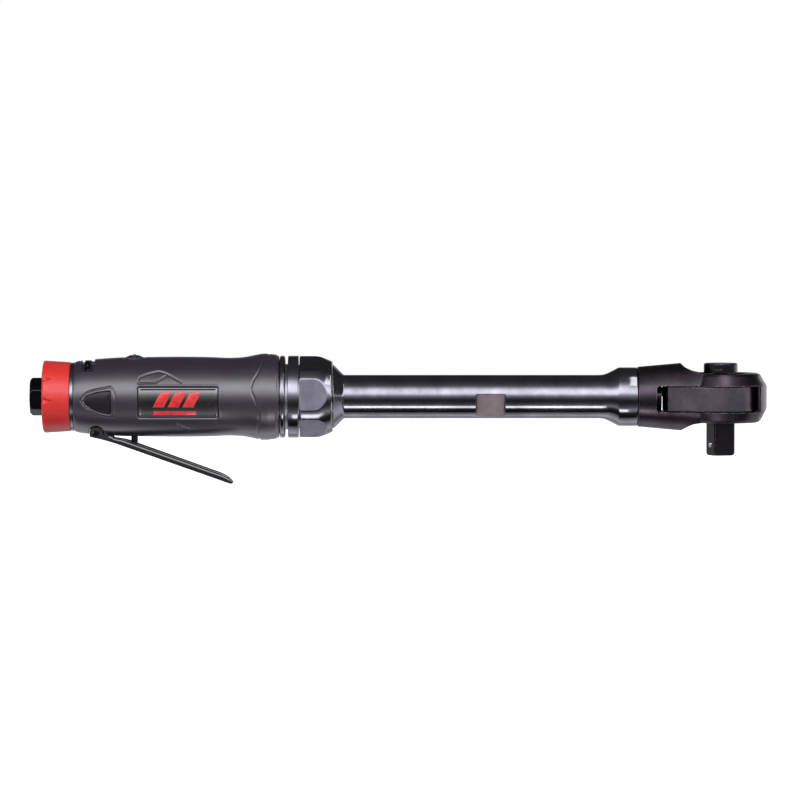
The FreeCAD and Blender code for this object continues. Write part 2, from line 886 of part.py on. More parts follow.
def head_disc():
    """The round end of the head: a plain land between two long bevels."""
    low, high = HEAD_LAND_Z
    outline = [
        (0, HEAD_BOTTOM),
        (18.9, HEAD_BOTTOM),
        (20.1, HEAD_BOTTOM + 0.4),
        (21.2, HEAD_BOTTOM + 1.6),
        (HEAD_DISC_R - 0.2, low - 0.9),
        (HEAD_DISC_R, low),
        (HEAD_DISC_R, high),
        (HEAD_DISC_R - 0.2, high + 0.8),
        (21.1, HEAD_TOP - 1.4),
        (20.2, HEAD_TOP - 0.4),
        (19.1, HEAD_TOP),
        (0, HEAD_TOP),
    ]
    face = face_of([vec(HEAD_DISC_X + r, 0, z) for r, z in outline])
    return face.revolve(vec(HEAD_DISC_X, 0, 0), AXIS_Z, 360)


def head_blank():
    neck = turned(
        [
            (NECK_START, 0),
            (NECK_START, 16.6),
            (NECK_START + 0.4, 16.95),
            (366.4, 19.0),
            (378.0, 20.6),
            (HEAD_DISC_X, 22.0),
            (HEAD_DISC_X, 0),
        ]
    )
    shaped = neck.fuse(head_disc()).common(prism_y(head_side_outline(), -30, 30))
    return shaped.fuse(cyl_x(SPIGOT_START, NECK_START, SPIGOT_R))


def head_window():
    z0, z1 = WINDOW_Z
    slot = box(*WINDOW_X, -30, 30, z0, z1)
    rear_corners = [
        e
        for e in slot.Edges
        if e.BoundBox.YLength > 50 and e.BoundBox.XMax < WINDOW_X[0] + 1
    ]
    slot = slot.makeFillet(2.0, rear_corners)
    return slot.fuse(cyl_z(z0, z1, CAVITY_R))


def head_housing():
    cuts = [
        cyl_x(327, 350.4, CRANK_BORE_R),
        cyl_x(350, CRANK_WEB_END + 0.6, CRANK_WEB_R + 0.5),
        cyl_x(350, 369, CRANK_SWEEP_R),
        cyl_z(-16, 0, ANVIL_BORE_R),
        cyl_z(0, 16, 15.4),
        cyl_z(8.2, 16, 16.2),
        cyl_z(12.2, 13.2, 17.0),
    ]
    return head_blank().cut(head_window()).cut(fused(cuts))


def crank_bearing():
    return tube_x(333, 350, CRANK_BORE_R, CRANK_JOURNAL_R + RUN)


def head_cover():
    seat = ring_z(6.7, 8.2, 15.4, 8.0 + RUN)
    return seat.fuse(ring_z(8.2, 12.2, 16.2, 8.0 + RUN)).removeSplitter()


def cover_ring():
    ring = ring_z(12.25, 13.15, 17.0, 14.4)
    return ring.cut(box(HEAD_X + 10, HEAD_X + 20, -1.5, 1.5, 10, 15))


def yoke_washer(z0, z1):
    return ring_z(z0, z1, 19.4, 15.6)


def anvil_washer():
    return ring_z(WINDOW_Z[0], -7.75, 15.0, ANVIL_BORE_R)


def yoke_ring_teeth():
    """The inner outline: teeth that point inward and end at the tip radius."""
    points = []
    step = 360 / YOKE_TEETH
    for k in range(YOKE_TEETH):
        for r, turn in (
            (YOKE_TIP_R, 0.0),
            (YOKE_TIP_R, 0.14),
            (YOKE_ROOT_R, 0.46),
            (YOKE_ROOT_R, 0.68),
        ):
            y, x = polar(r, step * (k + turn))
            points.append((HEAD_X + x, y))
    return points


def yoke_tangent():
    """Where the straight side of the tail runs into the yoke's ring."""
    reach = math.hypot(HEAD_X - YOKE_TAIL_X, YOKE_TAIL_HALF)
    lean = math.atan2(YOKE_TAIL_HALF, HEAD_X - YOKE_TAIL_X)
    angle = math.pi - lean - math.acos(YOKE_RING_R / reach)
    return HEAD_X + YOKE_RING_R * math.cos(angle), YOKE_RING_R * math.sin(angle)


def yoke():
    z0, z1 = YOKE_Z
    touch_x, touch_y = yoke_tangent()
    tail = prism_z(
        [
            (356, -YOKE_TAIL_HALF),
            (356, YOKE_TAIL_HALF),
            (YOKE_TAIL_X, YOKE_TAIL_HALF),
            (touch_x, touch_y),
            (touch_x, -touch_y),
            (YOKE_TAIL_X, -YOKE_TAIL_HALF),
        ],
        z0,
        z1,
    )
    sweep = math.hypot(HEAD_X - YOKE_TAIL_X, YOKE_TAIL_HALF)
    body = cyl_z(z0, z1, YOKE_RING_R).fuse(tail.common(cyl_z(z0, z1, sweep)))
    slot = box(355, 369.6, -YOKE_SLOT_HALF, YOKE_SLOT_HALF, z0 - 1, z1 + 1)
    return body.cut(prism_z(yoke_ring_teeth(), z0 - 1, z1 + 1)).cut(slot)


def pawl_pocket():
    y0 = 5.6
    pocket = box(HEAD_X - 7.6, HEAD_X + 7.6, y0, 16, -5.7, 4.0)
    doorway = box(HEAD_X - 5.2, HEAD_X + 5.2, 2.5, y0 + 0.2, -2.6, 0.8)
    return pocket.fuse(doorway)


def square_drive():
    half = SQUARE / 2
    bar = box(HEAD_X - half, HEAD_X + half, -half, half, SQUARE_END, HEAD_BOTTOM + 1)
    z = SQUARE_END
    rounded = [(0, z), (7.3, z), (8.5, z + 1.3), (8.5, 0), (0, 0)]
    face = face_of([vec(HEAD_X + r, 0, h) for r, h in rounded])
    turned_bar = face.revolve(vec(HEAD_X, 0, 0), AXIS_Z, 360)
    return bar.common(turned_bar)


def ball_hole():
    """The stepped cross hole of the socket ball; its mouth is narrower than the ball."""
    wide = cyl_x(HEAD_X - 6.2, HEAD_X + 2.6, BALL_R + RUN, 0, BALL_Z)
    return wide.fuse(cyl_x(HEAD_X - 7, HEAD_X - 6, 1.87, 0, BALL_Z))


def anvil():
    z0, z1 = YOKE_Z
    rounds = [
        cyl_z(HEAD_BOTTOM + 0.1, z0 + 0.5, ANVIL_BORE_R - RUN),
        cyl_z(z0, -5.8, ANVIL_FLANGE_R),
        cyl_z(-5.8, 4.1, 13.4),
        cyl_z(4.1, z1, ANVIL_FLANGE_R),
        cyl_z(z1, 13.0, 8.0),
    ]
    body = fused(rounds + [square_drive()])
    pocket = pawl_pocket()
    cuts = [cyl_z(-5.7, 14, SELECTOR_STEM_R + RUN), pocket, turn_head(pocket, 180)]
    for y in (PAWL_PIN_AT, -PAWL_PIN_AT):
        cuts.append(cyl_z(-7.4, 5.6, 1.2, HEAD_X, y))
    return turn_head(body.cut(fused(cuts)).cut(ball_hole()), SQUARE_TURN)


def pawl_pins():
    pins = [cyl_z(-7.4, 5.6, 1.2, HEAD_X, y) for y in (PAWL_PIN_AT, -PAWL_PIN_AT)]
    return group([turn_head(pin, SQUARE_TURN) for pin in pins])


def pawl(side):
    """A rocking pawl with a tooth at each end, tilted about its pin to one side."""
    disc = cyl_z(-5.5, 3.8, PAWL_TIP_R)
    blank = disc.common(box(HEAD_X - 6.7, HEAD_X + 6.7, 6.6, 16, -6, 5))
    relief = prism_z(
        [
            (HEAD_X - 5.4, 16),
            (HEAD_X - 4.4, 12.2),
            (HEAD_X + 4.4, 12.2),
            (HEAD_X + 5.4, 16),
        ],
        -6,
        5,
    )
    hole = cyl_z(-6, 5, 1.2 + RUN, HEAD_X, PAWL_PIN_AT)
    shape = blank.cut(relief).cut(hole)
    shape.rotate(vec(HEAD_X, PAWL_PIN_AT, 0), AXIS_Z, PAWL_TILT)
    return turn_head(shape, SQUARE_TURN + side)


def selector_dimple():
    """The shallow oblong recess that marks the knob's near side."""
    x0, x1 = HEAD_X - 5.2, HEAD_X - 0.8
    z = (HEAD_TOP + SELECTOR_TOP) / 2 + 0.1
    ends = [cyl_y(-12, -SELECTOR_R + 1.0, 0.9, x, z) for x in (x0, x1)]
    return fused(ends + [box(x0, x1, -12, -SELECTOR_R + 1.0, z - 0.9, z + 0.9)])


def selector_knob():
    knob = cyl_z(HEAD_TOP + 0.15, SELECTOR_TOP, SELECTOR_R)
    knob = knob.makeChamfer(0.6, [knob.Edges[0]])
    stem = cyl_z(-5.5, HEAD_TOP + 0.5, SELECTOR_STEM_R)
    groove = box(HEAD_X - 5.6, HEAD_X + 5.6, -1.3, 1.3, SELECTOR_TOP - 0.9, 25)
    cross_hole = cyl_y(-6, 6, 1.35, HEAD_X, PLUNGER_Z)
    finger = cyl_z(HEAD_TOP, 25, 2.0, HEAD_X - 10.4, 0)
    shape = fused([knob, stem]).cut(fused([groove, finger])).cut(cross_hole)
    shape = turn_head(shape, SQUARE_TURN - 30)
    return shape.cut(selector_dimple())


def selector_plungers():
    plungers = []
    for sign in (1, -1):
        rod = cyl_y(1.6, 4.5, 1.3, HEAD_X, PLUNGER_Z)
        tip = Part.makeSphere(1.3, vec(HEAD_X, 4.5, PLUNGER_Z))
        plungers.append(turn_head(fused([rod, tip]), 90 - 90 * sign))
    return group([turn_head(p, SQUARE_TURN - 30) for p in plungers])


def selector_spring():
    coil = spring(vec(HEAD_X, -1.3, PLUNGER_Z), AXIS_Y, 2.6, 0.95, 0.22, 3)
    return turn_head(coil, SQUARE_TURN - 30)


def socket_ball():
    ball = Part.makeSphere(BALL_R, vec(HEAD_X - BALL_AT, 0, BALL_Z))
    return turn_head(ball, SQUARE_TURN)


def ball_spring():
    start = vec(HEAD_X + 2.2, 0, BALL_Z)
    coil = spring(start, vec(-1, 0, 0), 4.0, 1.5, 0.28, 4)
    return turn_head(coil, SQUARE_TURN)


PARTS = {
    "inlet_bushing": inlet_bushing(),
    "inlet_screen": inlet_screen(),
    "exhaust_deflector": exhaust_deflector(),
    "silencer": silencer(),
    "trim_ring": trim_ring(),
    "motor_housing": motor_housing(),
    "grip_sleeve": grip_sleeve(),
    "grip_pads": grip_pads(),
    "badges": badges(),
    "grip_screw": grip_screw(),
    "valve_bushing": valve_bushing(),
    "throttle_stem": throttle_stem(),
    "valve_spring": valve_spring(),
    "regulator_dial": regulator_dial(),
    "throttle_lever": throttle_lever(),
    "lever_pin": lever_pin(),
    "rear_end_plate": rear_end_plate(),
    "rear_bearing": rear_bearing(),
    "cylinder": cylinder(),
    "rotor": rotor(),
    "vanes": vanes(),
    "front_end_plate": front_end_plate(),
    "front_bearing": front_bearing(),
    "ring_gear": ring_gear(),
    "planet_gear_a": planet(0),
    "planet_gear_b": planet(1),
    "planet_gear_c": planet(2),
    "planet_pins": planet_pins(),
    "planet_carrier": planet_carrier(),
    "gear_spacer": gear_spacer(),
    "carrier_bearing": carrier_bearing(),
    "front_ring": front_ring(),
    "lock_ring": lock_ring(),
    "clamp_nut": clamp_nut(),
    "tube_snap_ring": tube_snap_ring(),
    "extension_tube": extension_tube(),
    "shaft_bushings": shaft_bushings(),
    "drive_shaft": drive_shaft(),
    "crankshaft": crankshaft(),
    "crank_roller": crank_roller(),
    "crank_bearing": crank_bearing(),
    "head_housing": head_housing(),
    "head_cover": head_cover(),
    "cover_ring": cover_ring(),
    "yoke": yoke(),
    "yoke_washer_top": yoke_washer(YOKE_Z[1] + 0.05, WINDOW_Z[1]),
    "yoke_washer_bottom": yoke_washer(WINDOW_Z[0], YOKE_Z[0] - 0.05),
    "anvil_washer": anvil_washer(),
    "anvil": anvil(),
    "pawl_pins": pawl_pins(),
    "pawl_front": pawl(0),
    "pawl_rear": pawl(180),
    "selector_knob": selector_knob(),
    "selector_plungers": selector_plungers(),
    "selector_spring": selector_spring(),
    "socket_ball": socket_ball(),
    "ball_spring": ball_spring(),
}

os.makedirs("parts", exist_ok=True)
for name, shape in PARTS.items():
    solids = shape.Solids
    valid = shape.isValid() and all(s.isClosed() for s in solids)
    print(f"{name}: {len(solids)} solid(s), {shape.Volume:.1f} mm3, valid {valid}")
    kept = solids[0] if len(solids) == 1 else Part.makeCompound(solids)
    kept.exportStep(f"parts/{name}.step")
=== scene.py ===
import json
import math

import bmesh
import bpy
import numpy as np
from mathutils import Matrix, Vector


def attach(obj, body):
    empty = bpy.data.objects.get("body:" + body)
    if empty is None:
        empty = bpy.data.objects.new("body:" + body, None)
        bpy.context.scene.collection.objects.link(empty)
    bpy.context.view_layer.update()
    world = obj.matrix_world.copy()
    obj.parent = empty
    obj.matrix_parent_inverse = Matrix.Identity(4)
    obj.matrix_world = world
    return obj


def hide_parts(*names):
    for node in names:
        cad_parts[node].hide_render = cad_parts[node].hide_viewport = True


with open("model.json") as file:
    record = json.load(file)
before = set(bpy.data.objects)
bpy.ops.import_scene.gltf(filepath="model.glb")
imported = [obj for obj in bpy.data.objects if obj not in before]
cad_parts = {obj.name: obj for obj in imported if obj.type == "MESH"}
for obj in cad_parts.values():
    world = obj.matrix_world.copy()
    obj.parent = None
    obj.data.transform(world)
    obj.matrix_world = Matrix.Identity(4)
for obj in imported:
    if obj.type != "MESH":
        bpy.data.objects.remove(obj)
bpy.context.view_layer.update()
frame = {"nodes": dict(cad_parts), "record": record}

# Sizes are in millimetres until a mesh is made. X runs along the tool, Z is up.
MM = 0.001
NEAR, FAR = -1, 1  # the two sides of the tool, by the sign of Y
NODES = frame["nodes"]

# outline of the grip, repeated from the CAD as (x, radius)
GRIP_PROFILE = [
    (25.3, 19.6),
    (27.4, 20.2),
    (31.0, 20.8),
    (37.6, 21.3),
    (51.0, 22.2),
    (67.0, 22.45),
    (85.0, 22.6),
    (102.0, 22.4),
    (114.0, 22.0),
    (122.0, 22.6),
    (128.0, 23.8),
    (132.5, 24.4),
    (136.5, 23.9),
    (139.6, 23.5),
]
HOUSING_R = 18.95
BADGE_X = (61.6, 106.8)
BADGE_Z = (-11.4, 6.4)
PAD_OUTLINE = [
    (29.4, -1.2),
    (31.1, 1.6),
    (33.4, 3.5),
    (37.2, 4.9),
    (42.2, 5.9),
    (46.7, 6.9),
    (47.9, 5.2),
    (49.0, 2.2),
    (49.5, -1.8),
    (49.5, -9.9),
    (48.4, -10.9),
    (44.7, -10.8),
    (40.2, -9.9),
    (35.7, -7.6),
    (32.2, -5.4),
    (30.2, -3.4),
]
PAD_FIELD = [
    (30.4, -1.8),
    (32.4, 1.0),
    (36.9, 2.7),
    (41.4, 3.6),
    (46.4, 4.0),
    (46.6, -8.7),
    (45.4, -9.6),
    (40.2, -8.6),
    (35.7, -6.6),
    (32.3, -4.3),
]
KEY_SLOT_X = (29.7, 36.6)
KEY_SLOT_HEIGHT = (46.0, 111.0)  # degrees above the near side
GRIP_LIMIT_R = 24.39
PIVOT = (37.6, -20.3)
VALVE_X = 58.9
FAR_OFF = 99  # a distance at which an opening has no effect
EAR_HOLE_R = 4.4
STEM_HOLE_R = 3.2
DIAL_HOLE_R = 6.5
DIAL_MARK = (65.6, 0.9)  # x and radius of the round dimple in front of the dial
FLANGE_GROOVE = (52, 11, 7.25, 1.15)  # centre and half size, first along x, then along y
DEGREE_ARC = 0.36  # of the grip's skin
NO_LINE = 9.0  # a distance at which a line or seat has no effect
BADGE_SEAT_R = 21.0
BADGE_SKIN_R = 21.65
MARK_LEVELS = (21.35, 21.78)
PAD_SEAT_R = 20.3
PAD_CENTRE = (39.8, -2.8)
SLOT_FLOOR_R = 19.0
DIAL_MARK_FLOOR_R = 21.6
# the wave that parts the grip's front cuff from its body, as (height in degrees, x)
CUFF_WAVE = [
    (-90, 129.6),
    (-62, 129.0),
    (-44, 129.0),
    (-29, 129.8),
    (-17, 129.2),
    (0.4, 127.0),
    (12, 125.3),
    (24, 126.4),
    (37, 129.2),
    (62, 132.6),
    (90, 135.5),
]
# raised and sunk lines beside the badge, as (x, height) on the grip's side
SWOOSHES = [
    [
        (61.9, 8.9),
        (62.4, 11.4),
        (65.2, 12.8),
        (68.6, 13.9),
        (73.1, 15.0),
        (76.5, 14.2),
        (81.0, 12.0),
        (86.0, 8.9),
    ],
    [(62.4, 8.5), (71.8, 8.8), (74.1, 10.3), (77.5, 12.6)],
    [
        (83.5, -14.4),
        (86.5, -15.7),
        (90.8, -17.1),
        (95.6, -17.4),
        (100.4, -16.6),
        (104.2, -15.2),
        (105.8, -14.2),
    ],
]


# ---- mesh helpers ----
def new_object(name, verts, faces, smooth=True, unit=MM):
    mesh = bpy.data.meshes.new(name)
    mesh.from_pydata([tuple(c * unit for c in v) for v in verts], [], faces)
    mesh.validate()
    mesh.update()
    obj = bpy.data.objects.new(name, mesh)
    bpy.context.scene.collection.objects.link(obj)
    for poly in mesh.polygons:
        poly.use_smooth = smooth
    return obj


def grid_object(name, points, wrap_rows, wrap_columns):
    """A quad mesh from a (rows, columns, 3) array of points in millimetres."""
    rows, columns, _ = points.shape
    index = np.arange(rows * columns).reshape(rows, columns)
    if wrap_rows:
        index = np.vstack([index, index[:1]])
    if wrap_columns:
        index = np.hstack([index, index[:, :1]])
    quads = np.stack(
        [index[:-1, :-1], index[:-1, 1:], index[1:, 1:], index[1:, :-1]], axis=-1
    ).reshape(-1, 4)
    mesh = bpy.data.meshes.new(name)
    mesh.vertices.add(rows * columns)
    mesh.vertices.foreach_set("co", (points.reshape(-1) * MM).astype(np.float32))
    mesh.loops.add(quads.size)
    mesh.loops.foreach_set("vertex_index", quads.reshape(-1).astype(np.int32))
    mesh.polygons.add(len(quads))
    mesh.polygons.foreach_set("loop_start", np.arange(0, quads.size, 4, dtype=np.int32))
    mesh.polygons.foreach_set("use_smooth", np.ones(len(quads), dtype=bool))
    mesh.update(calc_edges=True)
    mesh.validate()
    obj = bpy.data.objects.new(name, mesh)
    bpy.context.scene.collection.objects.link(obj)
    fix_normals(obj)
    return obj


def fix_normals(obj):
    bm = bmesh.new()
    bm.from_mesh(obj.data)
    bmesh.ops.recalc_face_normals(bm, faces=bm.faces)
    bm.to_mesh(obj.data)
    bm.free()


def rounded(path, radius, steps=4):
    """A closed outline with each corner turned into a small arc."""
    out = []
    count = len(path)
    for i, corner in enumerate(path):
        here = Vector(corner)
        back = Vector(path[i - 1]) - here
        ahead = Vector(path[(i + 1) % count]) - here
        reach = min(radius, back.length * 0.45, ahead.length * 0.45)
        a = here + back.normalized() * reach
        b = here + ahead.normalized() * reach
        for k in range(steps + 1):
            t = k / steps
            point = a * (1 - t) ** 2 + here * 2 * t * (1 - t) + b * t**2
            out.append((point.x, point.y))
    return out


def subdivided(path, step):
    """A closed outline with its long runs divided."""
    out = []
    for i, (x0, r0) in enumerate(path):
        x1, r1 = path[(i + 1) % len(path)]
        parts = max(1, math.ceil(math.hypot(x1 - x0, r1 - r0) / step))
        for k in range(parts):
            out.append((x0 + (x1 - x0) * k / parts, r0 + (r1 - r0) * k / parts))
    return out


def lathe(name, path, segments=192, shape=None):
    """Turn a closed outline of (x, radius) about the tool's axis; shape moves the points."""
    x = np.repeat(np.array([p[0] for p in path])[:, None], segments, axis=1)
    r = np.repeat(np.array([p[1] for p in path])[:, None], segments, axis=1)
    turn = np.repeat(
        np.linspace(0, 2 * np.pi, segments, endpoint=False)[None, :], len(path), axis=0
    )
    if shape:
        x, r = shape(x, r, turn)
    points = np.stack([x, -r * np.cos(turn), r * np.sin(turn)], axis=-1)
    return grid_object(name, points, True, True)


def smooth_min(a, b, width):
    blend = np.clip(0.5 + 0.5 * (b - a) / width, 0, 1)
    return b * (1 - blend) + a * blend - width * blend * (1 - blend)


def smooth_step(edge0, edge1, value):
    t = np.clip((value - edge0) / (edge1 - edge0), 0, 1)
    return t * t * (3 - 2 * t)


def wrapped(angle):
    return (angle + np.pi) % (2 * np.pi) - np.pi


def line_distance(u, v, path):
    """Distance of each point from an open line of (u, v) points."""
    best = np.full(u.shape, 1e9)
    for (u0, v0), (u1, v1) in zip(path, path[1:]):
        du, dv = u1 - u0, v1 - v0
        t = np.clip(((u - u0) * du + (v - v0) * dv) / (du * du + dv * dv), 0, 1)
        best = np.minimum(best, np.hypot(u - u0 - t * du, v - v0 - t * dv))
    return best


def inside(u, v, path):
    """True for points inside a closed outline."""
    result = np.zeros(u.shape, dtype=bool)
    for (u0, v0), (u1, v1) in zip(path, path[1:] + path[:1]):
        crosses = (v0 > v) != (v1 > v)
        at = u0 + (v - v0) * (u1 - u0) / ((v1 - v0) or 1e-9)
        result ^= crosses & (u < at)
    return result


def signed_distance(u, v, path):
    """Distance from a closed outline, negative inside it."""
    far = line_distance(u, v, path + path[:1])
    return np.where(inside(u, v, path), -far, far)


def curve_through(points, values):
    """Smooth interpolation (Catmull-Rom) of (position, value) points."""
    px = np.array([p[0] for p in points], dtype=float)
    py = np.array([p[1] for p in points], dtype=float)
    slopes = np.gradient(py, px)
    i = np.clip(np.searchsorted(px, values) - 1, 0, len(px) - 2)
    h = px[i + 1] - px[i]
    t = np.clip((values - px[i]) / h, 0, 1)
    return (
        (2 * t**3 - 3 * t**2 + 1) * py[i]
        + (t**3 - 2 * t**2 + t) * h * slopes[i]
        + (3 * t**2 - 2 * t**3) * py[i + 1]
        + (t**3 - t**2) * h * slopes[i + 1]
    )


def prism(name, outline, y0, y1):
    """A solid from an (x, z) outline, between two values of y."""
    count = len(outline)
    verts = [(x, y0, z) for x, z in outline] + [(x, y1, z) for x, z in outline]
    faces = [tuple(range(count)), tuple(range(2 * count - 1, count - 1, -1))]
    for i in range(count):
        j = (i + 1) % count
        faces.append((j, i, count + i, count + j))
    obj = new_object(name, verts, faces, smooth=False)
    fix_normals(obj)
    return obj


def bevel(obj, width, segments=3, angle=35):
    mod = obj.modifiers.new("bevel", "BEVEL")
    mod.width = width * MM
    mod.segments = segments
    mod.limit_method = "ANGLE"
    mod.angle_limit = math.radians(angle)
    mod.harden_normals = False
    mod.use_clamp_overlap = True
    return mod


def apply_all(obj):
    """Turn an object's modifiers into its mesh."""
    graph = bpy.context.evaluated_depsgraph_get()
    mesh = bpy.data.meshes.new_from_object(obj.evaluated_get(graph))
    old = obj.data
    obj.modifiers.clear()
    obj.data = mesh
    bpy.data.meshes.remove(old)


def shade(obj, angle=40):
    """Smooth shading with creases where faces meet sharply."""
    mesh = obj.data
    for poly in mesh.polygons:
        poly.use_smooth = True
    mesh.set_sharp_from_angle(angle=math.radians(angle))


# ---- material helpers ----
class Graph:
    """A material and its nodes, with short calls to add and join them."""

    def __init__(self, name):
        self.material = bpy.data.materials.new(name)
        self.material.use_nodes = True
        self.tree = self.material.node_tree
        self.shader = self.tree.nodes["Principled BSDF"]
        self.coords = self.add("ShaderNodeTexCoord").outputs["Object"]

    def add(self, kind, **settings):
        node = self.tree.nodes.new(kind)
        for key, value in settings.items():
            setattr(node, key, value)
        return node

    def link(self, source, target):
        self.tree.links.new(source, target)

    def set(self, **values):
        for key, value in values.items():
            self.shader.inputs[key.replace("_", " ")].default_value = value

    def stretched(self, scale):
        node = self.add("ShaderNodeMapping")
        self.link(self.coords, node.inputs["Vector"])
        node.inputs["Scale"].default_value = scale
        return node.outputs["Vector"]

    def noise(self, scale, detail=4, rough=0.55, vector=None, distortion=0.0):
        node = self.add("ShaderNodeTexNoise")
        self.link(vector or self.coords, node.inputs["Vector"])
        node.inputs["Scale"].default_value = scale
        node.inputs["Detail"].default_value = detail
        node.inputs["Roughness"].default_value = rough
        node.inputs["Distortion"].default_value = distortion
        return node.outputs["Fac"]

    def cells(self, scale, vector=None):
        node = self.add("ShaderNodeTexVoronoi")
        self.link(vector or self.coords, node.inputs["Vector"])
        node.inputs["Scale"].default_value = scale
        return node.outputs["Distance"]

    def remap(self, value, low, high, out_low=0.0, out_high=1.0):
        node = self.add("ShaderNodeMapRange")
        self.link(value, node.inputs["Value"])
        node.inputs["From Min"].default_value = low
        node.inputs["From Max"].default_value = high
        node.inputs["To Min"].default_value = out_low
        node.inputs["To Max"].default_value = out_high
        return node.outputs["Result"]

    def math(self, operation, a, b):
        node = self.add("ShaderNodeMath", operation=operation)
        for socket, value in zip(node.inputs, (a, b)):
            if isinstance(value, (int, float)):
                socket.default_value = value
            else:
                self.link(value, socket)
        return node.outputs[0]

    def mix(self, factor, a, b):
        node = self.add("ShaderNodeMix", data_type="RGBA")
        self.link(factor, node.inputs["Factor"])
        for socket, value in ((node.inputs[6], a), (node.inputs[7], b)):
            if isinstance(value, tuple):
                socket.default_value = (*value, 1.0)
            else:
                self.link(value, socket)
        return node.outputs[2]

    def edges(self, radius, sharp=0.985):
        """1 on worn outer edges and 0 on flat stretches."""
        bevelled = self.add("ShaderNodeBevel", samples=6)
        bevelled.inputs["Radius"].default_value = radius * MM
        flat = self.add("ShaderNodeNewGeometry")
        dot = self.add("ShaderNodeVectorMath", operation="DOT_PRODUCT")
        self.link(bevelled.outputs["Normal"], dot.inputs[0])
        self.link(flat.outputs["Normal"], dot.inputs[1])
        return self.remap(dot.outputs["Value"], sharp, sharp - 0.12)

    def bump(self, height, strength, distance, base=None):
        node = self.add("ShaderNodeBump")
        node.inputs["Strength"].default_value = strength
        node.inputs["Distance"].default_value = distance * MM
        self.link(height, node.inputs["Height"])
        if base:
            self.link(base, node.inputs["Normal"])
        return node.outputs["Normal"]

    def bevel_normal(self, radius):
        node = self.add("ShaderNodeBevel", samples=6)
        node.inputs["Radius"].default_value = radius * MM
        return node.outputs["Normal"]

    def finish(self, colour, roughness, normal):
        self.link(colour, self.shader.inputs["Base Color"])
        self.link(roughness, self.shader.inputs["Roughness"])
        self.link(normal, self.shader.inputs["Normal"])
        return self.material


def metal(name, colour, rough, lines=(1, 1, 1), edge=0.25, wear=(0.45, 0.44, 0.43), bump=0.05):
    """Metal with blotches, fine tool marks along one direction, smudges and worn edges."""
    g = Graph(name)
    g.set(Metallic=1.0)
    marks = g.noise(900, 3, 0.6, g.stretched(lines))
    blotch = g.noise(70, 5, 0.6)
    smudge = g.noise(35, 6, 0.65, distortion=0.6)
    dark = tuple(c * 0.72 for c in colour)
    light = tuple(min(1.0, c * 1.3) for c in colour)
    tone = g.mix(g.remap(blotch, 0.3, 0.7), dark, light)
    worn = g.math("MULTIPLY", g.edges(edge), g.remap(g.noise(420, 4), 0.42, 0.6))
    tone = g.mix(g.math("MULTIPLY", worn, 0.75), tone, wear)
    finish = g.math("ADD", g.remap(smudge, 0.3, 0.75, rough * 0.8, rough * 1.35), 0)
    finish = g.math("ADD", finish, g.remap(marks, 0.2, 0.8, -0.035, 0.05))
    finish = g.math("ADD", finish, g.math("MULTIPLY", worn, 0.12))
    normal = g.bump(marks, bump, 0.02, g.bevel_normal(edge * 0.8))
    return g.finish(tone, finish, normal)


def plastic(name, colour, rough, grain=0.3, grain_scale=5200, edge=0.4, wear=(0.2, 0.19, 0.2)):
    """Moulded plastic with a fine skin texture, slight marbling, scuffs and rubbed edges."""
    g = Graph(name)
    skin = g.cells(grain_scale)
    fine = g.noise(grain_scale * 0.7, 3)
    marble = g.noise(55, 5, 0.6)
    scuff = g.noise(240, 6, 0.7, g.stretched((0.35, 1.0, 1.0)), 0.4)
    dark = tuple(c * 0.82 for c in colour)
    light = tuple(min(1.0, c * 1.18) for c in colour)
    tone = g.mix(g.remap(marble, 0.3, 0.7), dark, light)
    rubbed = g.math("MULTIPLY", g.edges(edge), g.remap(g.noise(350, 4), 0.35, 0.65))
    tone = g.mix(g.math("MULTIPLY", rubbed, 0.45), tone, wear)
    finish = g.remap(scuff, 0.35, 0.7, rough * 0.9, rough * 1.2)
    height = g.math("ADD", g.math("MULTIPLY", skin, 0.6), g.math("MULTIPLY", fine, 0.4))
    normal = g.bump(height, grain, 0.03)
    return g.finish(tone, finish, normal)


def make_materials():
    turned = (9.0, 0.25, 0.25)
    along = (0.12, 3.0, 3.0)
    m = {
        "black_chrome": metal(
            "black_chrome", (0.235, 0.23, 0.262), 0.11, turned, 0.35, (0.6, 0.59, 0.6)
        ),
        "nut_chrome": metal(
            "nut_chrome", (0.19, 0.185, 0.225), 0.27, (1, 1, 1), 0.5, (0.3, 0.29, 0.32), 0.01
        ),
        "milled": metal(
            "milled", (0.25, 0.205, 0.215), 0.5, (6, 0.4, 0.4), 0.2, bump=0.15
        ),
        "gunmetal": metal("gunmetal", (0.066, 0.052, 0.064), 0.3, (1, 1, 1), 0.5),
        "polished_dark": metal(
            "polished_dark", (0.17, 0.145, 0.17), 0.23, along, 0.8, bump=0.008
        ),
        "black_steel": metal("black_steel", (0.035, 0.031, 0.038), 0.2, (1, 1, 1), 0.5),
        "steel": metal("steel", (0.52, 0.52, 0.53), 0.26, turned, 0.25, (0.8, 0.8, 0.8)),
        "aluminium": metal(
            "aluminium", (0.5, 0.5, 0.52), 0.36, turned, 0.3, (0.75, 0.75, 0.75)
        ),
        "iron": metal("iron", (0.33, 0.32, 0.31), 0.42, (1, 1, 1), 0.3, bump=0.2),
        "brass": metal("brass", (0.72, 0.52, 0.24), 0.3, turned, 0.2, (0.85, 0.7, 0.4)),
        "black_paint": black_paint(),
        "grip_plastic": grip_plastic(),
        "rubber": plastic("rubber", (0.009, 0.007, 0.011), 0.36, 0.1),
        "gloss_black": gloss_black(),
        "red_plastic": red_plastic(),
        "mark_red": mark_red(),
        "phenolic": plastic("phenolic", (0.25, 0.13, 0.06), 0.5, 0.2, 900),
        "felt": plastic("felt", (0.5, 0.48, 0.43), 0.9, 1.0, 1500),
    }
    return m


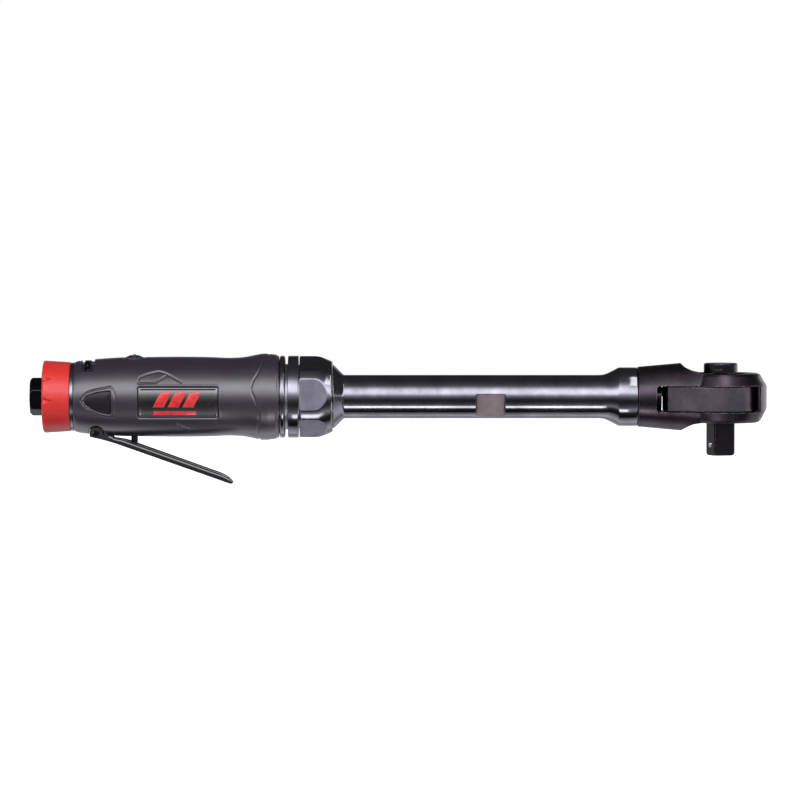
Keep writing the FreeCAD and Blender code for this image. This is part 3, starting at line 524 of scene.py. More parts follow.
def black_paint():
    """Black coat on formed sheet steel: glossy, faintly orange-peeled, chipped on its edges."""
    g = Graph("black_paint")
    g.set(Coat_Weight=1.0, Coat_Roughness=0.05, IOR=1.8)
    peel = g.noise(700, 2, 0.4)
    dust = g.noise(90, 5, 0.65)
    tone = g.mix(g.remap(dust, 0.3, 0.75), (0.0015, 0.0015, 0.002), (0.004, 0.004, 0.0045))
    chips = g.math("MULTIPLY", g.edges(0.25), g.remap(g.noise(500, 5), 0.56, 0.64))
    tone = g.mix(g.math("MULTIPLY", chips, 0.8), tone, (0.28, 0.27, 0.27))
    finish = g.remap(dust, 0.3, 0.75, 0.06, 0.13)
    return g.finish(tone, finish, g.bump(peel, 0.08, 0.02))


def grip_plastic():
    """Soft-touch charcoal moulding with a fine skin and a faint purple cast."""
    g = Graph("grip_plastic")
    g.set(Coat_Weight=1.0, Coat_Roughness=0.3, IOR=1.8)
    skin = g.cells(4200)
    fine = g.noise(3000, 3)
    marble = g.noise(45, 5, 0.6)
    scuff = g.noise(200, 6, 0.7, g.stretched((0.3, 1.0, 1.0)), 0.4)
    tone = g.mix(
        g.remap(marble, 0.3, 0.7), (0.019, 0.012, 0.023), (0.026, 0.018, 0.031)
    )
    rubbed = g.math("MULTIPLY", g.edges(0.5), g.remap(g.noise(300, 4), 0.35, 0.65))
    tone = g.mix(g.math("MULTIPLY", rubbed, 0.35), tone, (0.13, 0.12, 0.13))
    finish = g.remap(scuff, 0.35, 0.7, 0.3, 0.42)
    height = g.math("ADD", g.math("MULTIPLY", skin, 0.6), g.math("MULTIPLY", fine, 0.4))
    return g.finish(tone, finish, g.bump(height, 0.22, 0.03))


def gloss_black():
    """Polished black inlay with hairline scratches and fingerprints."""
    g = Graph("gloss_black")
    g.set(Coat_Weight=1.0, Coat_Roughness=0.06, IOR=2.0)
    hair = g.noise(1600, 4, 0.7, g.stretched((0.08, 1.0, 1.0)))
    prints = g.noise(120, 6, 0.7, distortion=1.0)
    tone = g.mix(g.remap(prints, 0.3, 0.7), (0.008, 0.007, 0.009), (0.016, 0.014, 0.017))
    finish = g.math(
        "ADD", g.remap(prints, 0.4, 0.75, 0.14, 0.26), g.remap(hair, 0.4, 0.8, 0, 0.08)
    )
    return g.finish(tone, finish, g.bump(hair, 0.03, 0.01))


def red_plastic():
    """Red moulded cap: satin gloss, slight flow marks and paler rubbed edges."""
    g = Graph("red_plastic")
    g.set(Coat_Weight=0.15, Coat_Roughness=0.25, Subsurface_Weight=0.05)
    flow = g.noise(60, 5, 0.6, g.stretched((0.5, 1.0, 1.0)), 0.5)
    fine = g.noise(2600, 3)
    tone = g.mix(g.remap(flow, 0.3, 0.7), (0.64, 0.026, 0.021), (0.74, 0.04, 0.03))
    rubbed = g.math("MULTIPLY", g.edges(0.4), g.remap(g.noise(380, 4), 0.4, 0.65))
    tone = g.mix(g.math("MULTIPLY", rubbed, 0.4), tone, (0.85, 0.28, 0.22))
    finish = g.remap(g.noise(160, 5, 0.65), 0.35, 0.7, 0.32, 0.44)
    return g.finish(tone, finish, g.bump(fine, 0.12, 0.02))


def mark_red():
    """Raised red enamel on the badge."""
    g = Graph("mark_red")
    g.set(Coat_Weight=0.5, Coat_Roughness=0.1)
    cloud = g.noise(260, 4, 0.6)
    tone = g.mix(g.remap(cloud, 0.3, 0.7), (0.55, 0.018, 0.02), (0.78, 0.05, 0.045))
    rubbed = g.math("MULTIPLY", g.edges(0.2), g.remap(g.noise(700, 4), 0.4, 0.6))
    tone = g.mix(g.math("MULTIPLY", rubbed, 0.5), tone, (0.95, 0.3, 0.27))
    finish = g.remap(cloud, 0.3, 0.7, 0.2, 0.32)
    return g.finish(tone, finish, g.bump(g.noise(1800, 3), 0.08, 0.01))


def give(obj, material):
    obj.data.materials.clear()
    obj.data.materials.append(material)


def paint_nodes(materials):
    """Every CAD node shows the material of its own slot in the record."""
    slots = {s["node"]: s["material_slot"] for s in frame["record"]["subparts"]}
    for name, node in NODES.items():
        for slot in node.material_slots:
            slot.link = "OBJECT"
            slot.material = materials[slots[name]]


# ---- the grip ----
def badge_outline():
    (x0, x1), (z0, z1) = BADGE_X, BADGE_Z
    c = 0.8
    return [
        (x0 + c, z0),
        (x1 - c, z0),
        (x1, z0 + c),
        (x1, z1 - c),
        (x1 - c, z1),
        (x0 + c, z1),
        (x0, z1 - c),
        (x0, z0 + c),
    ]


def scaled(path, centre, factor):
    cx, cz = centre
    return [(cx + (x - cx) * factor, cz + (z - cz) * factor) for x, z in path]


def sink(r, skin, far, floor, width=0.15):
    """Lowers the skin to a floor radius where the distance is negative."""
    sunk = smooth_step(width, -width, far) * skin
    return r * (1 - sunk) + np.minimum(r, floor) * sunk


def grip_relief(x, r, turn):
    """Moves the grip's skin: sunk panels, moulded lines, the cuff and the holes."""
    z = r * np.sin(turn)
    y = -r * np.cos(turn)
    skin = (r > HOUSING_R + 0.3).astype(float)
    height = np.degrees(np.arcsin(np.clip(np.sin(turn), -1, 1)))
    step = x - curve_through(CUFF_WAVE, height)
    r = r - skin * 0.5 * np.exp(-((step / 0.42) ** 2))
    r = r + skin * 0.2 * smooth_step(0.3, 1.0, step) * (x < 139)
    side = np.abs(y) > 8
    for path in SWOOSHES:
        far = np.where(side, line_distance(x, z, path), NO_LINE)
        r = r - skin * 0.6 * np.exp(-((far / 0.38) ** 2))
    badge = np.where(side, signed_distance(x, z, badge_outline()), NO_LINE)
    r = r + skin * 0.12 * np.exp(-(((badge - 0.7) / 0.5) ** 2))
    r = sink(r, skin, badge - 0.1, BADGE_SEAT_R, 0.28)
    frame_line = np.where(side, signed_distance(x, z, PAD_OUTLINE), NO_LINE)
    r = r - skin * 0.45 * np.exp(-(((frame_line + 0.25) / 0.38) ** 2))
    r = r + skin * 0.1 * smooth_step(-0.7, -1.3, frame_line)
    field = np.where(side, signed_distance(x, z, PAD_FIELD), NO_LINE)
    r = sink(r, skin, field - 0.05, PAD_SEAT_R, 0.2)
    r = r - skin * 0.35 * np.exp(-(((x - 28.6) / 0.35) ** 2)) * (height > 48)
    for far, floor in grip_holes(x, y, z, turn):
        r = sink(r, skin, far, floor)
    return x, np.minimum(r, GRIP_LIMIT_R)


def grip_holes(x, y, z, turn):
    """Distance from each opening in the grip, with the radius of its floor."""
    below = z < 0
    from_valve = np.hypot(x - VALVE_X, y)
    mid_x, half_x, mid_y, half_y = FLANGE_GROOVE
    flange = np.maximum(np.abs(x - mid_x) - half_x, np.abs(np.abs(y) - mid_y) - half_y)
    up = np.degrees(wrapped(turn))
    (x0, x1), (low, high) = KEY_SLOT_X, KEY_SLOT_HEIGHT
    beyond = np.maximum(x0 - x, x - x1)
    slot = np.maximum(beyond, np.maximum(low - up, up - high) * DEGREE_ARC)
    mark_x, mark_r = DIAL_MARK
    flat_floor = SLOT_FLOOR_R / np.maximum(np.abs(np.sin(turn)), 0.5)
    return [
        (np.hypot(x - PIVOT[0], z - PIVOT[1]) - EAR_HOLE_R, HOUSING_R),
        (np.where(below, from_valve, FAR_OFF) - STEM_HOLE_R, HOUSING_R),
        (np.where(below, FAR_OFF, from_valve) - DIAL_HOLE_R, HOUSING_R),
        (np.where(below, flange, FAR_OFF), flat_floor),
        (np.where(below, FAR_OFF, np.hypot(x - mark_x, y)) - mark_r, DIAL_MARK_FLOOR_R),
        (slot, SLOT_FLOOR_R),
    ]


def grip_shell(materials):
    xs = np.arange(25.9, 139.3, 0.3)
    outer = list(zip(xs, curve_through(GRIP_PROFILE, xs)))
    rear = [(24.95, HOUSING_R), (24.95, 19.0), (25.1, 19.3), (25.4, 19.55)]
    front = [(139.6, 23.45), (139.75, 23.1), (139.95, 23.05), (140.2, 23.15)]
    front += [(140.5, 23.0), (140.6, 22.7), (140.6, HOUSING_R)]
    inner = [(x, HOUSING_R) for x in np.linspace(138, 27, 12)]
    obj = lathe("grip_shell", rear + outer + front + inner, 420, grip_relief)
    give(obj, materials["grip_plastic"])
    place(obj, "tool_body", "grip_plastic", "grip_sleeve")


def place(obj, body, slot, *nodes):
    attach(obj, body)
    if nodes:
        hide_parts(*nodes)


def side_patch(name, side, us, vs, radius):
    """A thin plate that follows the grip's side; radius gives its skin at each (x, z)."""
    x, z = np.meshgrid(us, vs, indexing="ij")
    top = radius(x, z)
    low = np.full_like(top, top.min() - 0.9)
    sheets = []
    for r in (top, low):
        y = side * np.sqrt(np.maximum(r * r - z * z, 0))
        sheets.append(np.stack([x, y, z], axis=-1))
    rows, columns = x.shape
    points = np.concatenate([s.reshape(-1, 3) for s in sheets])
    index = np.arange(rows * columns).reshape(rows, columns)
    faces = []
    for offset in (0, rows * columns):
        i = index + offset
        quads = np.stack([i[:-1, :-1], i[:-1, 1:], i[1:, 1:], i[1:, :-1]], axis=-1)
        faces += [tuple(map(int, q)) for q in quads.reshape(-1, 4)]
    ring = list(index[0, :]) + list(index[1:, -1])
    ring += list(index[-1, -2::-1]) + list(index[-2:0:-1, 0])
    for a, b in zip(ring, ring[1:] + ring[:1]):
        faces.append((int(a), int(b), int(b) + rows * columns, int(a) + rows * columns))
    obj = new_object(name, points.tolist(), faces)
    fix_normals(obj)
    return obj


def badge_radius(x, z):
    """The badge's skin: a flat rim, a bevel and a slightly sunk field."""
    (x0, x1), (z0, z1) = BADGE_X, BADGE_Z
    inward = np.minimum(
        np.minimum(x - x0 - 0.3, x1 - 0.3 - x), np.minimum(z - z0 - 0.3, z1 - 0.3 - z)
    )
    edge = smooth_step(0.0, 0.25, inward) * 0.25
    sunk = smooth_step(1.0, 1.5, inward) * 0.32
    return BADGE_SKIN_R + edge - sunk


def badge_plates(materials):
    (x0, x1), (z0, z1) = BADGE_X, BADGE_Z
    us = np.linspace(x0 + 0.3, x1 - 0.3, 140)
    vs = np.linspace(z0 + 0.3, z1 - 0.3, 60)
    for side, name in ((NEAR, "badge_near"), (FAR, "badge_far")):
        obj = side_patch(name, side, us, vs, badge_radius)
        shade(obj, 50)
        give(obj, materials["gloss_black"])
        place(obj, "tool_body", "gloss_black", "badges")
        badge_mark(side, name + "_mark", materials)


def badge_mark(side, name, materials):
    """A plain generic mark: three slanted bars over a straight one."""
    bars = []
    for k in range(3):
        start = 70.0 + 8.3 * k
        bars.append((start, start + 6.2, 4.6, -5.2, 3.4))
    bars.append((70.3, 94.4, 0.0, -9.6, -7.3))
    verts, faces = [], []
    for x0, x1, lean, z0, z1 in bars:
        low, high = min(z0, z1), max(z0, z1)
        for level in MARK_LEVELS:
            for row in range(9):
                t = row / 8
                z = low + (high - low) * t
                y = side * math.sqrt(level * level - z * z)
                shift = lean * t
                verts += [(x0 + shift, y, z), (x1 + shift, y, z)]
        base = len(verts) - 36
        for row in range(8):
            a = base + 2 * row
            faces.append((a + 18, a + 19, a + 21, a + 20))
            faces.append((a, a + 2, a + 3, a + 1))
            faces.append((a, a + 18, a + 20, a + 2))
            faces.append((a + 1, a + 3, a + 21, a + 19))
        faces.append((base, base + 1, base + 19, base + 18))
        faces.append((base + 16, base + 34, base + 35, base + 17))
    obj = new_object(name, verts, faces, smooth=False)
    fix_normals(obj)
    bevel(obj, 0.15, 2, 40)
    apply_all(obj)
    shade(obj, 40)
    give(obj, materials["mark_red"])
    place(obj, "tool_body", "gloss_black")


def pad_inlays(materials):
    """Soft triangular inlays, sunk in their moulded frames at the rear of the grip."""
    outline = rounded(PAD_FIELD, 1.4, 4)
    levels = [(0.98, -1.4), (0.98, -0.75), (0.965, -0.6), (0.93, -0.5), (0.88, -0.47)]
    levels += [(0.6, -0.47), (0.3, -0.47)]
    for side, name in ((NEAR, "pad_near"), (FAR, "pad_far")):
        rings = []
        for factor, lift in levels:
            ring = []
            for x, z in scaled(outline, PAD_CENTRE, factor):
                r = float(curve_through(GRIP_PROFILE, np.array([x]))[0]) + lift
                ring.append((x, side * math.sqrt(r * r - z * z), z))
            rings.append(ring)
        obj = grid_object(name, np.array(rings), False, True)
        close_loops(obj)
        shade(obj, 50)
        give(obj, materials["rubber"])
        place(obj, "tool_body", "rubber", "grip_pads")


def close_loops(obj):
    bm = bmesh.new()
    bm.from_mesh(obj.data)
    loops = [e for e in bm.edges if e.is_boundary]
    bmesh.ops.holes_fill(bm, edges=loops, sides=0)
    bmesh.ops.triangulate(bm, faces=[f for f in bm.faces if len(f.verts) > 4])
    bmesh.ops.recalc_face_normals(bm, faces=bm.faces)
    bm.to_mesh(obj.data)
    bm.free()


# ---- the rear end ----
INLET_FLAT_R = 9.5
INLET_ROLL = 52.0  # degrees
THREAD_PITCH = 1.41
THREAD_END = 12.0
NOTCH_HEIGHTS = (-4.0, 32.0)  # degrees above level, the same on both sides
NOTCH_START, NOTCH_LENGTH, NOTCH_END = 7.3, 5.8, 13.1
CAP_R = 19.5


def hexagonal(distance, roll, width):
    """A shape function that mills six flats, with one flat's direction at the roll angle."""

    def shape(x, r, turn):
        nearest = wrapped((turn - math.radians(roll)) * 6) / 6
        return x, smooth_min(r, distance / np.cos(nearest), width)

    return shape


def inlet_piece(materials):
    """Hexagonal inlet bushing with its internal pipe thread."""
    outer = [(0.0, 5.9), (0.0, 9.3), (1.5, 11.1), (7.1, 11.1), (7.1, 7.4), (20.0, 7.4)]
    outer = rounded(outer + [(20.0, 4.6), (12.2, 4.6), (12.0, 5.6), (0.8, 5.6)], 0.5)
    mill = hexagonal(INLET_FLAT_R, INLET_ROLL, 0.5)

    def shape(x, r, turn):
        _, flat = mill(x, r, turn)
        bored = r < 6.2
        r = np.where(r > 8, flat, r)
        phase = ((x / THREAD_PITCH - turn / (2 * np.pi)) % 1.0) * 2 - 1
        depth = 0.3 * (1 - np.abs(phase)) * smooth_step(0.6, 1.6, x)
        depth = depth * smooth_step(THREAD_END, 11.0, x)
        return x, np.where(bored & (x < THREAD_END), r + depth - 0.15, r)

    obj = lathe("inlet_hex", subdivided(outer, 0.28), 216, shape)
    shade(obj, 60)
    give(obj, materials["black_steel"])
    place(obj, "tool_body", "black_steel", "inlet_bushing")


def deflector_cap(materials):
    """Red exhaust deflector with wedge-shaped outlets in its rear rim."""
    path = [(7.3, 9.1), (7.3, 18.6), (8.0, 20.45), (22.9, 19.5), (22.9, 17.9), (9.7, 17.9)]
    path = rounded(path + [(9.7, 9.1)], 0.9, 6)

    def shape(x, r, turn):
        height = np.arcsin(np.clip(np.sin(turn), -1, 1))
        outer = r > 18.2
        for angle in NOTCH_HEIGHTS:
            off = np.abs((height - math.radians(angle)) * CAP_R)
            half = 2.4 * (1 - (x - NOTCH_START) / NOTCH_LENGTH)
            fall = 1 - off / np.maximum(half, 0.05)
            depth = 0.9 * np.clip(fall, 0, 1) + 0.25 * smooth_step(0.0, 0.12, fall)
            r = np.where(outer & (x < NOTCH_END), r - depth, r)
        seam = np.exp(-(((height + math.radians(21)) * 20 / 0.25) ** 2))
        r = r - np.where(outer & (x > 9), seam * 0.05, 0)
        return x, r

    obj = lathe("deflector_cap", subdivided(path, 0.3), 720, shape)
    shade(obj, 45)
    give(obj, materials["red_plastic"])
    place(obj, "deflector", "red_plastic", "exhaust_deflector")


# ---- rings, nut and tube ----
NUT_R = 22.95
NUT_FLAT_R = 21.1
NUT_ROLL = 5.0  # degrees
TUBE_R = 12.3
COLLAR_R = 16.55
FLAT_R = 10.37
FLAT_TURNS = (-24.0, 156.0)  # degrees
FLAT_X = (251.5, 268.4)


def simple_ring(name, path, radius, node, slot, materials):
    obj = lathe(name, rounded(path, radius, 4), 240)
    shade(obj, 50)
    give(obj, materials[slot])
    place(obj, "tool_body", slot, node)


def nose_rings(materials):
    trim = [(23.1, 17.3), (23.1, 19.3), (23.8, 19.3), (23.95, 19.1), (24.1, 19.3)]
    trim += [(24.9, 19.3), (24.9, 17.3)]
    simple_ring("trim_band", trim, 0.3, "trim_ring", "black_chrome", materials)
    front = [(141.0, 18.95), (141.0, 22.5), (141.7, 23.2), (143.4, 23.2), (144.1, 22.5)]
    front += [(144.1, 18.95)]
    simple_ring("front_band", front, 0.9, "front_ring", "black_chrome", materials)
    lock = [(145.7, 18.05), (145.7, 23.15), (151.6, 23.15), (151.6, 18.05)]
    simple_ring("lock_band", lock, 0.4, "lock_ring", "black_chrome", materials)


def nut_piece(materials):
    """Clamp nut: six milled flats that run out on its rounded nose."""
    curve = [(160.9, NUT_R), (163.7, 22.6), (166.3, 21.75), (168.6, 20.8), (170.3, 20.1)]
    xs = np.arange(161.1, 170.1, 0.4)
    nose = list(zip(xs, curve_through(curve, xs)))
    path = [(152.2, 18.1), (152.2, 22.4), (152.45, 22.8), (152.9, NUT_R)]
    path += [(x, NUT_R) for x in np.arange(153.4, 160.8, 0.5)] + nose
    path += [(170.35, 20.0), (170.45, 19.75), (170.75, 19.55), (170.8, 19.35)]
    path += [(170.8, 17.2), (165.3, 17.2), (165.3, 18.1)]
    obj = lathe("nut_shell", path, 720, hexagonal(NUT_FLAT_R, NUT_ROLL, 0.22))
    shade(obj, 60)
    give(obj, materials["black_chrome"])
    obj.data.materials.append(materials["nut_chrome"])
    skin = [p for p in path if p[1] > 19.5]
    xs, radii = [p[0] for p in skin], [p[1] for p in skin]
    for poly in obj.data.polygons:
        x, y, z = poly.center / MM
        across = math.hypot(y, z)
        if 20 < across < np.interp(x, xs, radii) - 0.08 and 152.6 < x < 170.5:
            poly.material_index = 1
    place(obj, "tool_body", "black_chrome", "clamp_nut")


def tube_shape(x, r, turn):
    """Mills the two wrench flats across the tube."""
    for centre in FLAT_TURNS:
        nearest = wrapped(turn - math.radians(centre))
        facing = np.abs(nearest) < 1.2
        flat = FLAT_R / np.cos(np.where(facing, nearest, 0))
        length = smooth_step(FLAT_X[0], 252.4, x) * smooth_step(FLAT_X[1], 267.5, x)
        milled = smooth_min(r, flat, 0.06)
        r = np.where(facing & (r > 10), r + (milled - r) * length, r)
    return x, r


def tube_piece(materials):
    """Extension tube with its rear cone, wrench flats, flare and collar."""
    base = [(151.5, 8.6), (151.5, 16.8), (170.95, 16.8), (171.0, 17.9), (171.3, 18.1)]
    cone = [(172.5, 16.9), (173.7, 15.7), (174.9, 14.5), (176.1, 13.3), (176.8, 12.62)]
    cone += [(177.1, 12.42), (177.4, 12.32), (178.0, TUBE_R)]
    before = [(x, TUBE_R) for x in np.linspace(182, 249, 24)]
    milled = [(x, TUBE_R) for x in np.arange(250.6, 269.6, 0.3)]
    after = [(x, TUBE_R) for x in np.linspace(272, 321, 18)]
    flare = [(323.0, 12.4), (324.6, 12.75), (326.2, 13.4), (328.0, 14.3), (330.2, 15.45)]
    collar = [(331.8, 16.3), (332.2, 16.48), (332.8, COLLAR_R), (336.0, COLLAR_R)]
    collar += [(342.1, COLLAR_R), (342.5, 16.45), (342.8, 16.15)]
    end = [(342.8, 12.55), (328.0, 12.55), (328.0, 8.6)]
    path = base + cone + before + milled + after + flare + collar + end
    obj = lathe("tube_shell", path, 288, tube_shape)
    shade(obj, 35)
    give(obj, materials["black_chrome"])
    obj.data.materials.append(materials["milled"])
    for poly in obj.data.polygons:
        x, y, z = poly.center / MM
        across = math.hypot(y, z)
        if 251.9 < x < 268.0 and 9 < across < 12.27:
            poly.material_index = 1
    place(obj, "tool_body", "black_chrome", "extension_tube")


# ---- the lever ----
LEVER_LOW = [(33.9, -22.4), (41.4, -24.1), (46.4, -25.6), (48.9, -26.35), (111.6, -48.43)]
LEVER_LOW += [(112.8, -48.85), (113.8, -48.98), (114.6, -48.7)]
LEVER_TOP = [(43.4, -20.95), (46.3, -21.65), (47.4, -23.15), (53.6, -24.05), (56.5, -24.85)]
LEVER_TOP += [(60.7, -26.45), (107.6, -43.25), (110.4, -44.65), (112.6, -46.15)]
LEVER_TOP += [(114.0, -47.4), (114.6, -48.3)]
LEVER_HALF = 8.0
TIP_X = 111.0  # where the tip starts to narrow
SHEET = 1.5
LEVER_FLANK = [  # (height above the underside, inset): leaning flange, pressed bead, bend
    (3.3, 0.3),
    (3.05, 0.3),
    (2.4, 0.155),
    (2.15, 0.14),
    (1.9, 0.22),
    (1.6, 0.42),
    (0.2, 1.55),
]
CORNER_R = 0.6
EAR_R = 3.8


def polyline(points, x):
    return float(np.interp(x, [p[0] for p in points], [p[1] for p in points]))


def lever_section(x):
    """The sheet's closed U-shaped section at x: round bends below, two upright flanges."""
    low, top = polyline(LEVER_LOW, x), polyline(LEVER_TOP, x)
    half = LEVER_HALF - 1.6 * max(0.0, (x - TIP_X) / 3.6) ** 2
    solid = float(smooth_step(TIP_X, 112.6, x))
    inner = half - SHEET
    floor = low + 1.6 + (top - low - 1.65) * solid
    turn_r = max(0.15, min(1.6, (top - floor) * 0.8))
    inner -= 0.35 * solid
    stretch = min(1.0, (top - low) / 3.6)
    quarter = [(half - inset, low + h * stretch) for h, inset in subdivided(LEVER_FLANK, 0.2)]
    lean = math.radians(39)
    edge_y = quarter[-1][0] - CORNER_R * math.cos(lean)
    for k in range(1, 6):
        a = lean + (math.pi / 2 - lean) * k / 5
        drop = (1 - math.sin(a)) / (1 - math.sin(lean))
        quarter.append((edge_y + CORNER_R * math.cos(a), low + 0.2 * stretch * drop))
    fillet = []
    for k in range(7):
        a = math.pi / 2 * k / 6
        fillet.append(
            (inner - turn_r + turn_r * math.sin(a), floor + turn_r - turn_r * math.cos(a))
        )
    lip = [(inner, top - 0.12), (inner + 0.12, top), (half - 0.12, top), (half, top - 0.12)]
    side = fillet + lip + quarter
    return [(y, z) for y, z in side] + [(-y, z) for y, z in reversed(side)]


def lever_stations():
    near_ends = [43.25, 43.35, 44.2, 45.2, 45.8, 46.2, 46.5, 46.9, 47.3, 47.8, 48.9]
    return near_ends + list(np.arange(50, 110.5, 1.5)) + list(np.arange(110.6, 114.61, 0.25))


def ear_outline():
    """Side outline of an ear, which takes the pivot pin and runs into the flange."""
    outline = []
    for k in range(15):
        a = math.radians(182 - 190 * k / 14)
        outline.append((PIVOT[0] + EAR_R * math.cos(a), PIVOT[1] + EAR_R * math.sin(a)))
    outline += [(43.4, -20.98), (44.6, -21.3), (44.6, -25.05), (41.4, -24.08)]
    return outline + [(33.95, -22.38)]


def lever_piece(materials):
    rows = []
    for x in lever_stations():
        rows.append([(x, y, z) for y, z in lever_section(x)])
    sheet = grid_object("lever_sheet", np.array(rows), False, True)
    close_loops(sheet)
    shade(sheet, 35)
    parts = [sheet]
    for name, y0, y1 in (("ear_near", -7.98, -6.52), ("ear_far", 6.52, 7.98)):
        ear = prism(name, ear_outline(), y0, y1)
        bevel(ear, 0.2, 2, 32)
        apply_all(ear)
        shade(ear, 15)
        parts.append(ear)
    for obj in parts:
        give(obj, materials["black_paint"])
    place(sheet, "lever", "black_paint", "throttle_lever")
    for ear in parts[1:]:
        place(ear, "lever", "black_paint")


# ---- scene ----
SKY = [  # (direction in degrees: 0 toward the viewer, 90 up, 180 behind; brightness)
    (-180, 0.3),
    (-162, 0.35),
    (-150, 0.8),
    (-139, 0.3),
    (-119, 1.1),
    (-104, 0.7),
    (-93, 0.3),
    (-88, 0.01),
    (-70, 0.04),
    (-63, 0.12),
    (-59, 0.5),
    (-48, 0.6),
    (-43, 0.3),
    (-37, 0.16),
    (-24, 0.05),
    (-12, 0.07),
    (-4, 0.22),
    (5, 0.6),
    (11, 1.3),
    (16, 2.5),
    (22, 3.0),
    (34, 3.0),
    (41, 2.2),
    (47, 1.5),
    (54, 0.6),
    (63, 0.24),
    (75, 0.14),
    (90, 0.08),
    (155, 0.04),
    (166, 0.4),
    (180, 0.35),
]
SKY_STRENGTH = 4.0
SKY_TINT = (0.985, 0.975, 1.04)
FLOOR_HALF, FLOOR_Z = 4.0, -0.16  # metres, like the camera's and the lights' places
CAMERA_LENS = 244.5
CAMERA_AIM = (0.20886, 0, -0.0019)
CAMERA_RISE = 2.5  # degrees
CAMERA_DISTANCE = 3.07


def studio_world():
    """White for the camera; soft strips of light at set heights for everything else."""
    world = bpy.data.worlds.new("studio")
    bpy.context.scene.world = world
    world.use_nodes = True
    tree = world.node_tree
    tree.nodes.clear()

    def node(kind, operation=None, inputs=()):
        made = tree.nodes.new(kind)
        if operation:
            made.operation = operation
        for socket, value in zip(made.inputs, inputs):
            if isinstance(value, (int, float)):
                socket.default_value = value
            else:
                tree.links.new(value, socket)
        return made.outputs[0]

    coords = tree.nodes.new("ShaderNodeTexCoord")
    split = tree.nodes.new("ShaderNodeSeparateXYZ")
    tree.links.new(coords.outputs["Generated"], split.inputs[0])
    x, y, z = split.outputs
    toward = node("ShaderNodeMath", "MULTIPLY", (y, -1.0))
    angle = node("ShaderNodeMath", "ARCTAN2", (z, toward))
    place_on = node("ShaderNodeMapRange", None, (angle, -math.pi, math.pi))
    ramp = tree.nodes.new("ShaderNodeValToRGB")
    elements = ramp.color_ramp.elements
    while len(elements) < len(SKY):
        elements.new(0.5)
    for element, (degrees, value) in zip(elements, SKY):
        element.position = (degrees + 180) / 360
        element.color = (*(value / SKY_STRENGTH * part for part in SKY_TINT), 1)
    tree.links.new(place_on, ramp.inputs["Fac"])
    lit = tree.nodes.new("ShaderNodeBackground")
    tree.links.new(ramp.outputs["Color"], lit.inputs["Color"])
    lit.inputs["Strength"].default_value = SKY_STRENGTH

    aside = node("ShaderNodeMath", "GREATER_THAN", (x, 0.4))
    behind = node("ShaderNodeMath", "GREATER_THAN", (y, 0.2))
    level = node("ShaderNodeMath", "LESS_THAN", (node("ShaderNodeMath", "ABSOLUTE", (z,)), 0.3))
    both = node("ShaderNodeMath", "MULTIPLY", (aside, behind))
    where = node("ShaderNodeMath", "MULTIPLY", (both, level))
    wing = tree.nodes.new("ShaderNodeBackground")
    tree.links.new(node("ShaderNodeMath", "MULTIPLY", (where, 1.6)), wing.inputs["Strength"])
    studio = tree.nodes.new("ShaderNodeAddShader")
    tree.links.new(lit.outputs[0], studio.inputs[0])
    tree.links.new(wing.outputs[0], studio.inputs[1])

    seen = tree.nodes.new("ShaderNodeLightPath")
    plain = tree.nodes.new("ShaderNodeBackground")
    plain.inputs["Color"].default_value = (1, 1, 1, 1)
    blend = tree.nodes.new("ShaderNodeMixShader")
    tree.links.new(seen.outputs["Is Camera Ray"], blend.inputs[0])
    tree.links.new(studio.outputs[0], blend.inputs[1])
    tree.links.new(plain.outputs[0], blend.inputs[2])
    out = tree.nodes.new("ShaderNodeOutputWorld")
    tree.links.new(blend.outputs[0], out.inputs[0])


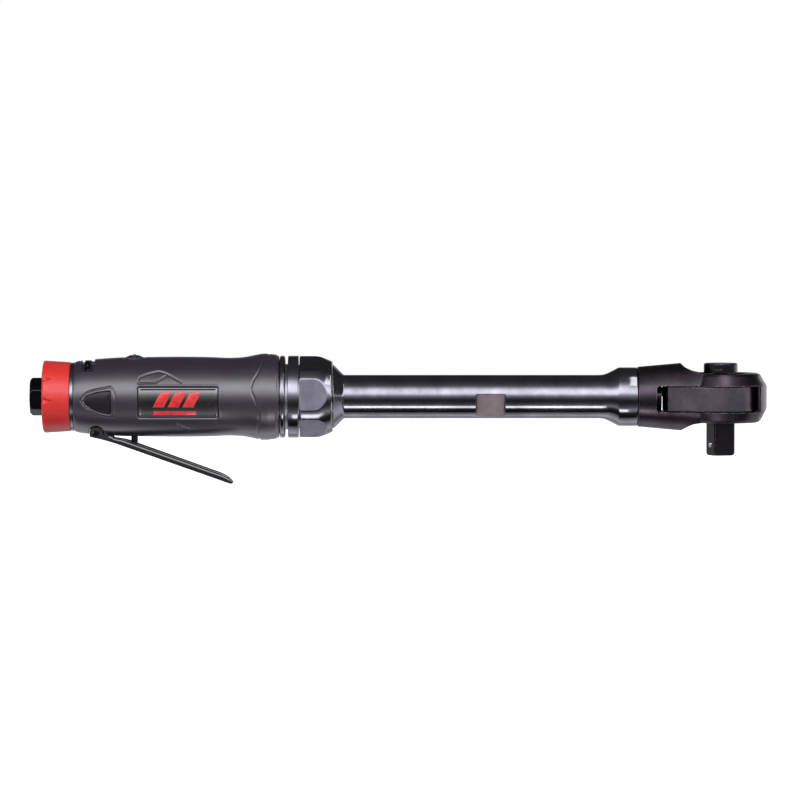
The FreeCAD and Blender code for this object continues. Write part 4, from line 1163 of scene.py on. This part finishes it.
def pale_floor():
    mesh = bpy.data.meshes.new("floor")
    size, z = FLOOR_HALF, FLOOR_Z
    corners = [(-size, -size, z), (size, -size, z), (size, size, z), (-size, size, z)]
    mesh.from_pydata(corners, [], [(0, 1, 2, 3)])
    floor = bpy.data.objects.new("floor", mesh)
    bpy.context.scene.collection.objects.link(floor)
    g = Graph("pale_floor")
    g.set(Base_Color=(0.85, 0.85, 0.85, 1), Roughness=0.9)
    g.set(Emission_Color=(1, 1, 1, 1), Emission_Strength=0.85)
    mesh.materials.append(g.material)
    floor.visible_glossy = False
    floor.visible_diffuse = False
    floor.visible_shadow = False


def area_light(name, energy, size, place_at, aim, glossy=False, spread=180):
    data = bpy.data.lights.new(name, "AREA")
    data.energy = energy
    data.shape = "RECTANGLE"
    data.size, data.size_y = size
    data.spread = math.radians(spread)
    light = bpy.data.objects.new(name, data)
    light.location = place_at
    light.rotation_mode = "QUATERNION"
    light.rotation_quaternion = (Vector(aim) - Vector(place_at)).to_track_quat("-Z", "Y")
    bpy.context.scene.collection.objects.link(light)
    light.visible_glossy = glossy
    light.visible_camera = False
    return light


def studio_lights():
    area_light("key", 5, (1.6, 0.7), (-0.1, -1.1, 1.2), (0.2, 0, 0))
    area_light("fill", 2, (1.6, 0.9), (0.6, -1.4, -0.5), (0.2, 0, 0))
    area_light("back", 3, (1.6, 0.8), (0.3, 1.3, 0.9), (0.2, 0, 0))
    area_light("head", 0.13, (0.066, 0.2), (0.406, -0.115, 0.25), (0.406, 0, 0.01), True)
    area_light("tube", 0.034, (0.22, 0.056), (0.25, -0.178, -0.241), (0.25, 0, 0), True, 90)


def camera():
    data = bpy.data.cameras.new("camera")
    data.lens = CAMERA_LENS
    data.sensor_width = 36
    data.clip_start, data.clip_end = 0.1, 20
    cam = bpy.data.objects.new("camera", data)
    aim = Vector(CAMERA_AIM)
    up = math.radians(CAMERA_RISE)
    back = Vector((0, -math.cos(up), math.sin(up)))
    cam.location = aim + back * CAMERA_DISTANCE
    cam.rotation_mode = "QUATERNION"
    cam.rotation_quaternion = (-back).to_track_quat("-Z", "Y")
    bpy.context.scene.collection.objects.link(cam)
    bpy.context.scene.camera = cam


def main():
    bpy.context.scene.view_settings.view_transform = "Standard"
    camera()
    studio_world()
    studio_lights()
    pale_floor()
    materials = make_materials()
    paint_nodes(materials)
    grip_shell(materials)
    badge_plates(materials)
    pad_inlays(materials)
    inlet_piece(materials)
    deflector_cap(materials)
    nose_rings(materials)
    nut_piece(materials)
    tube_piece(materials)
    lever_piece(materials)


main()
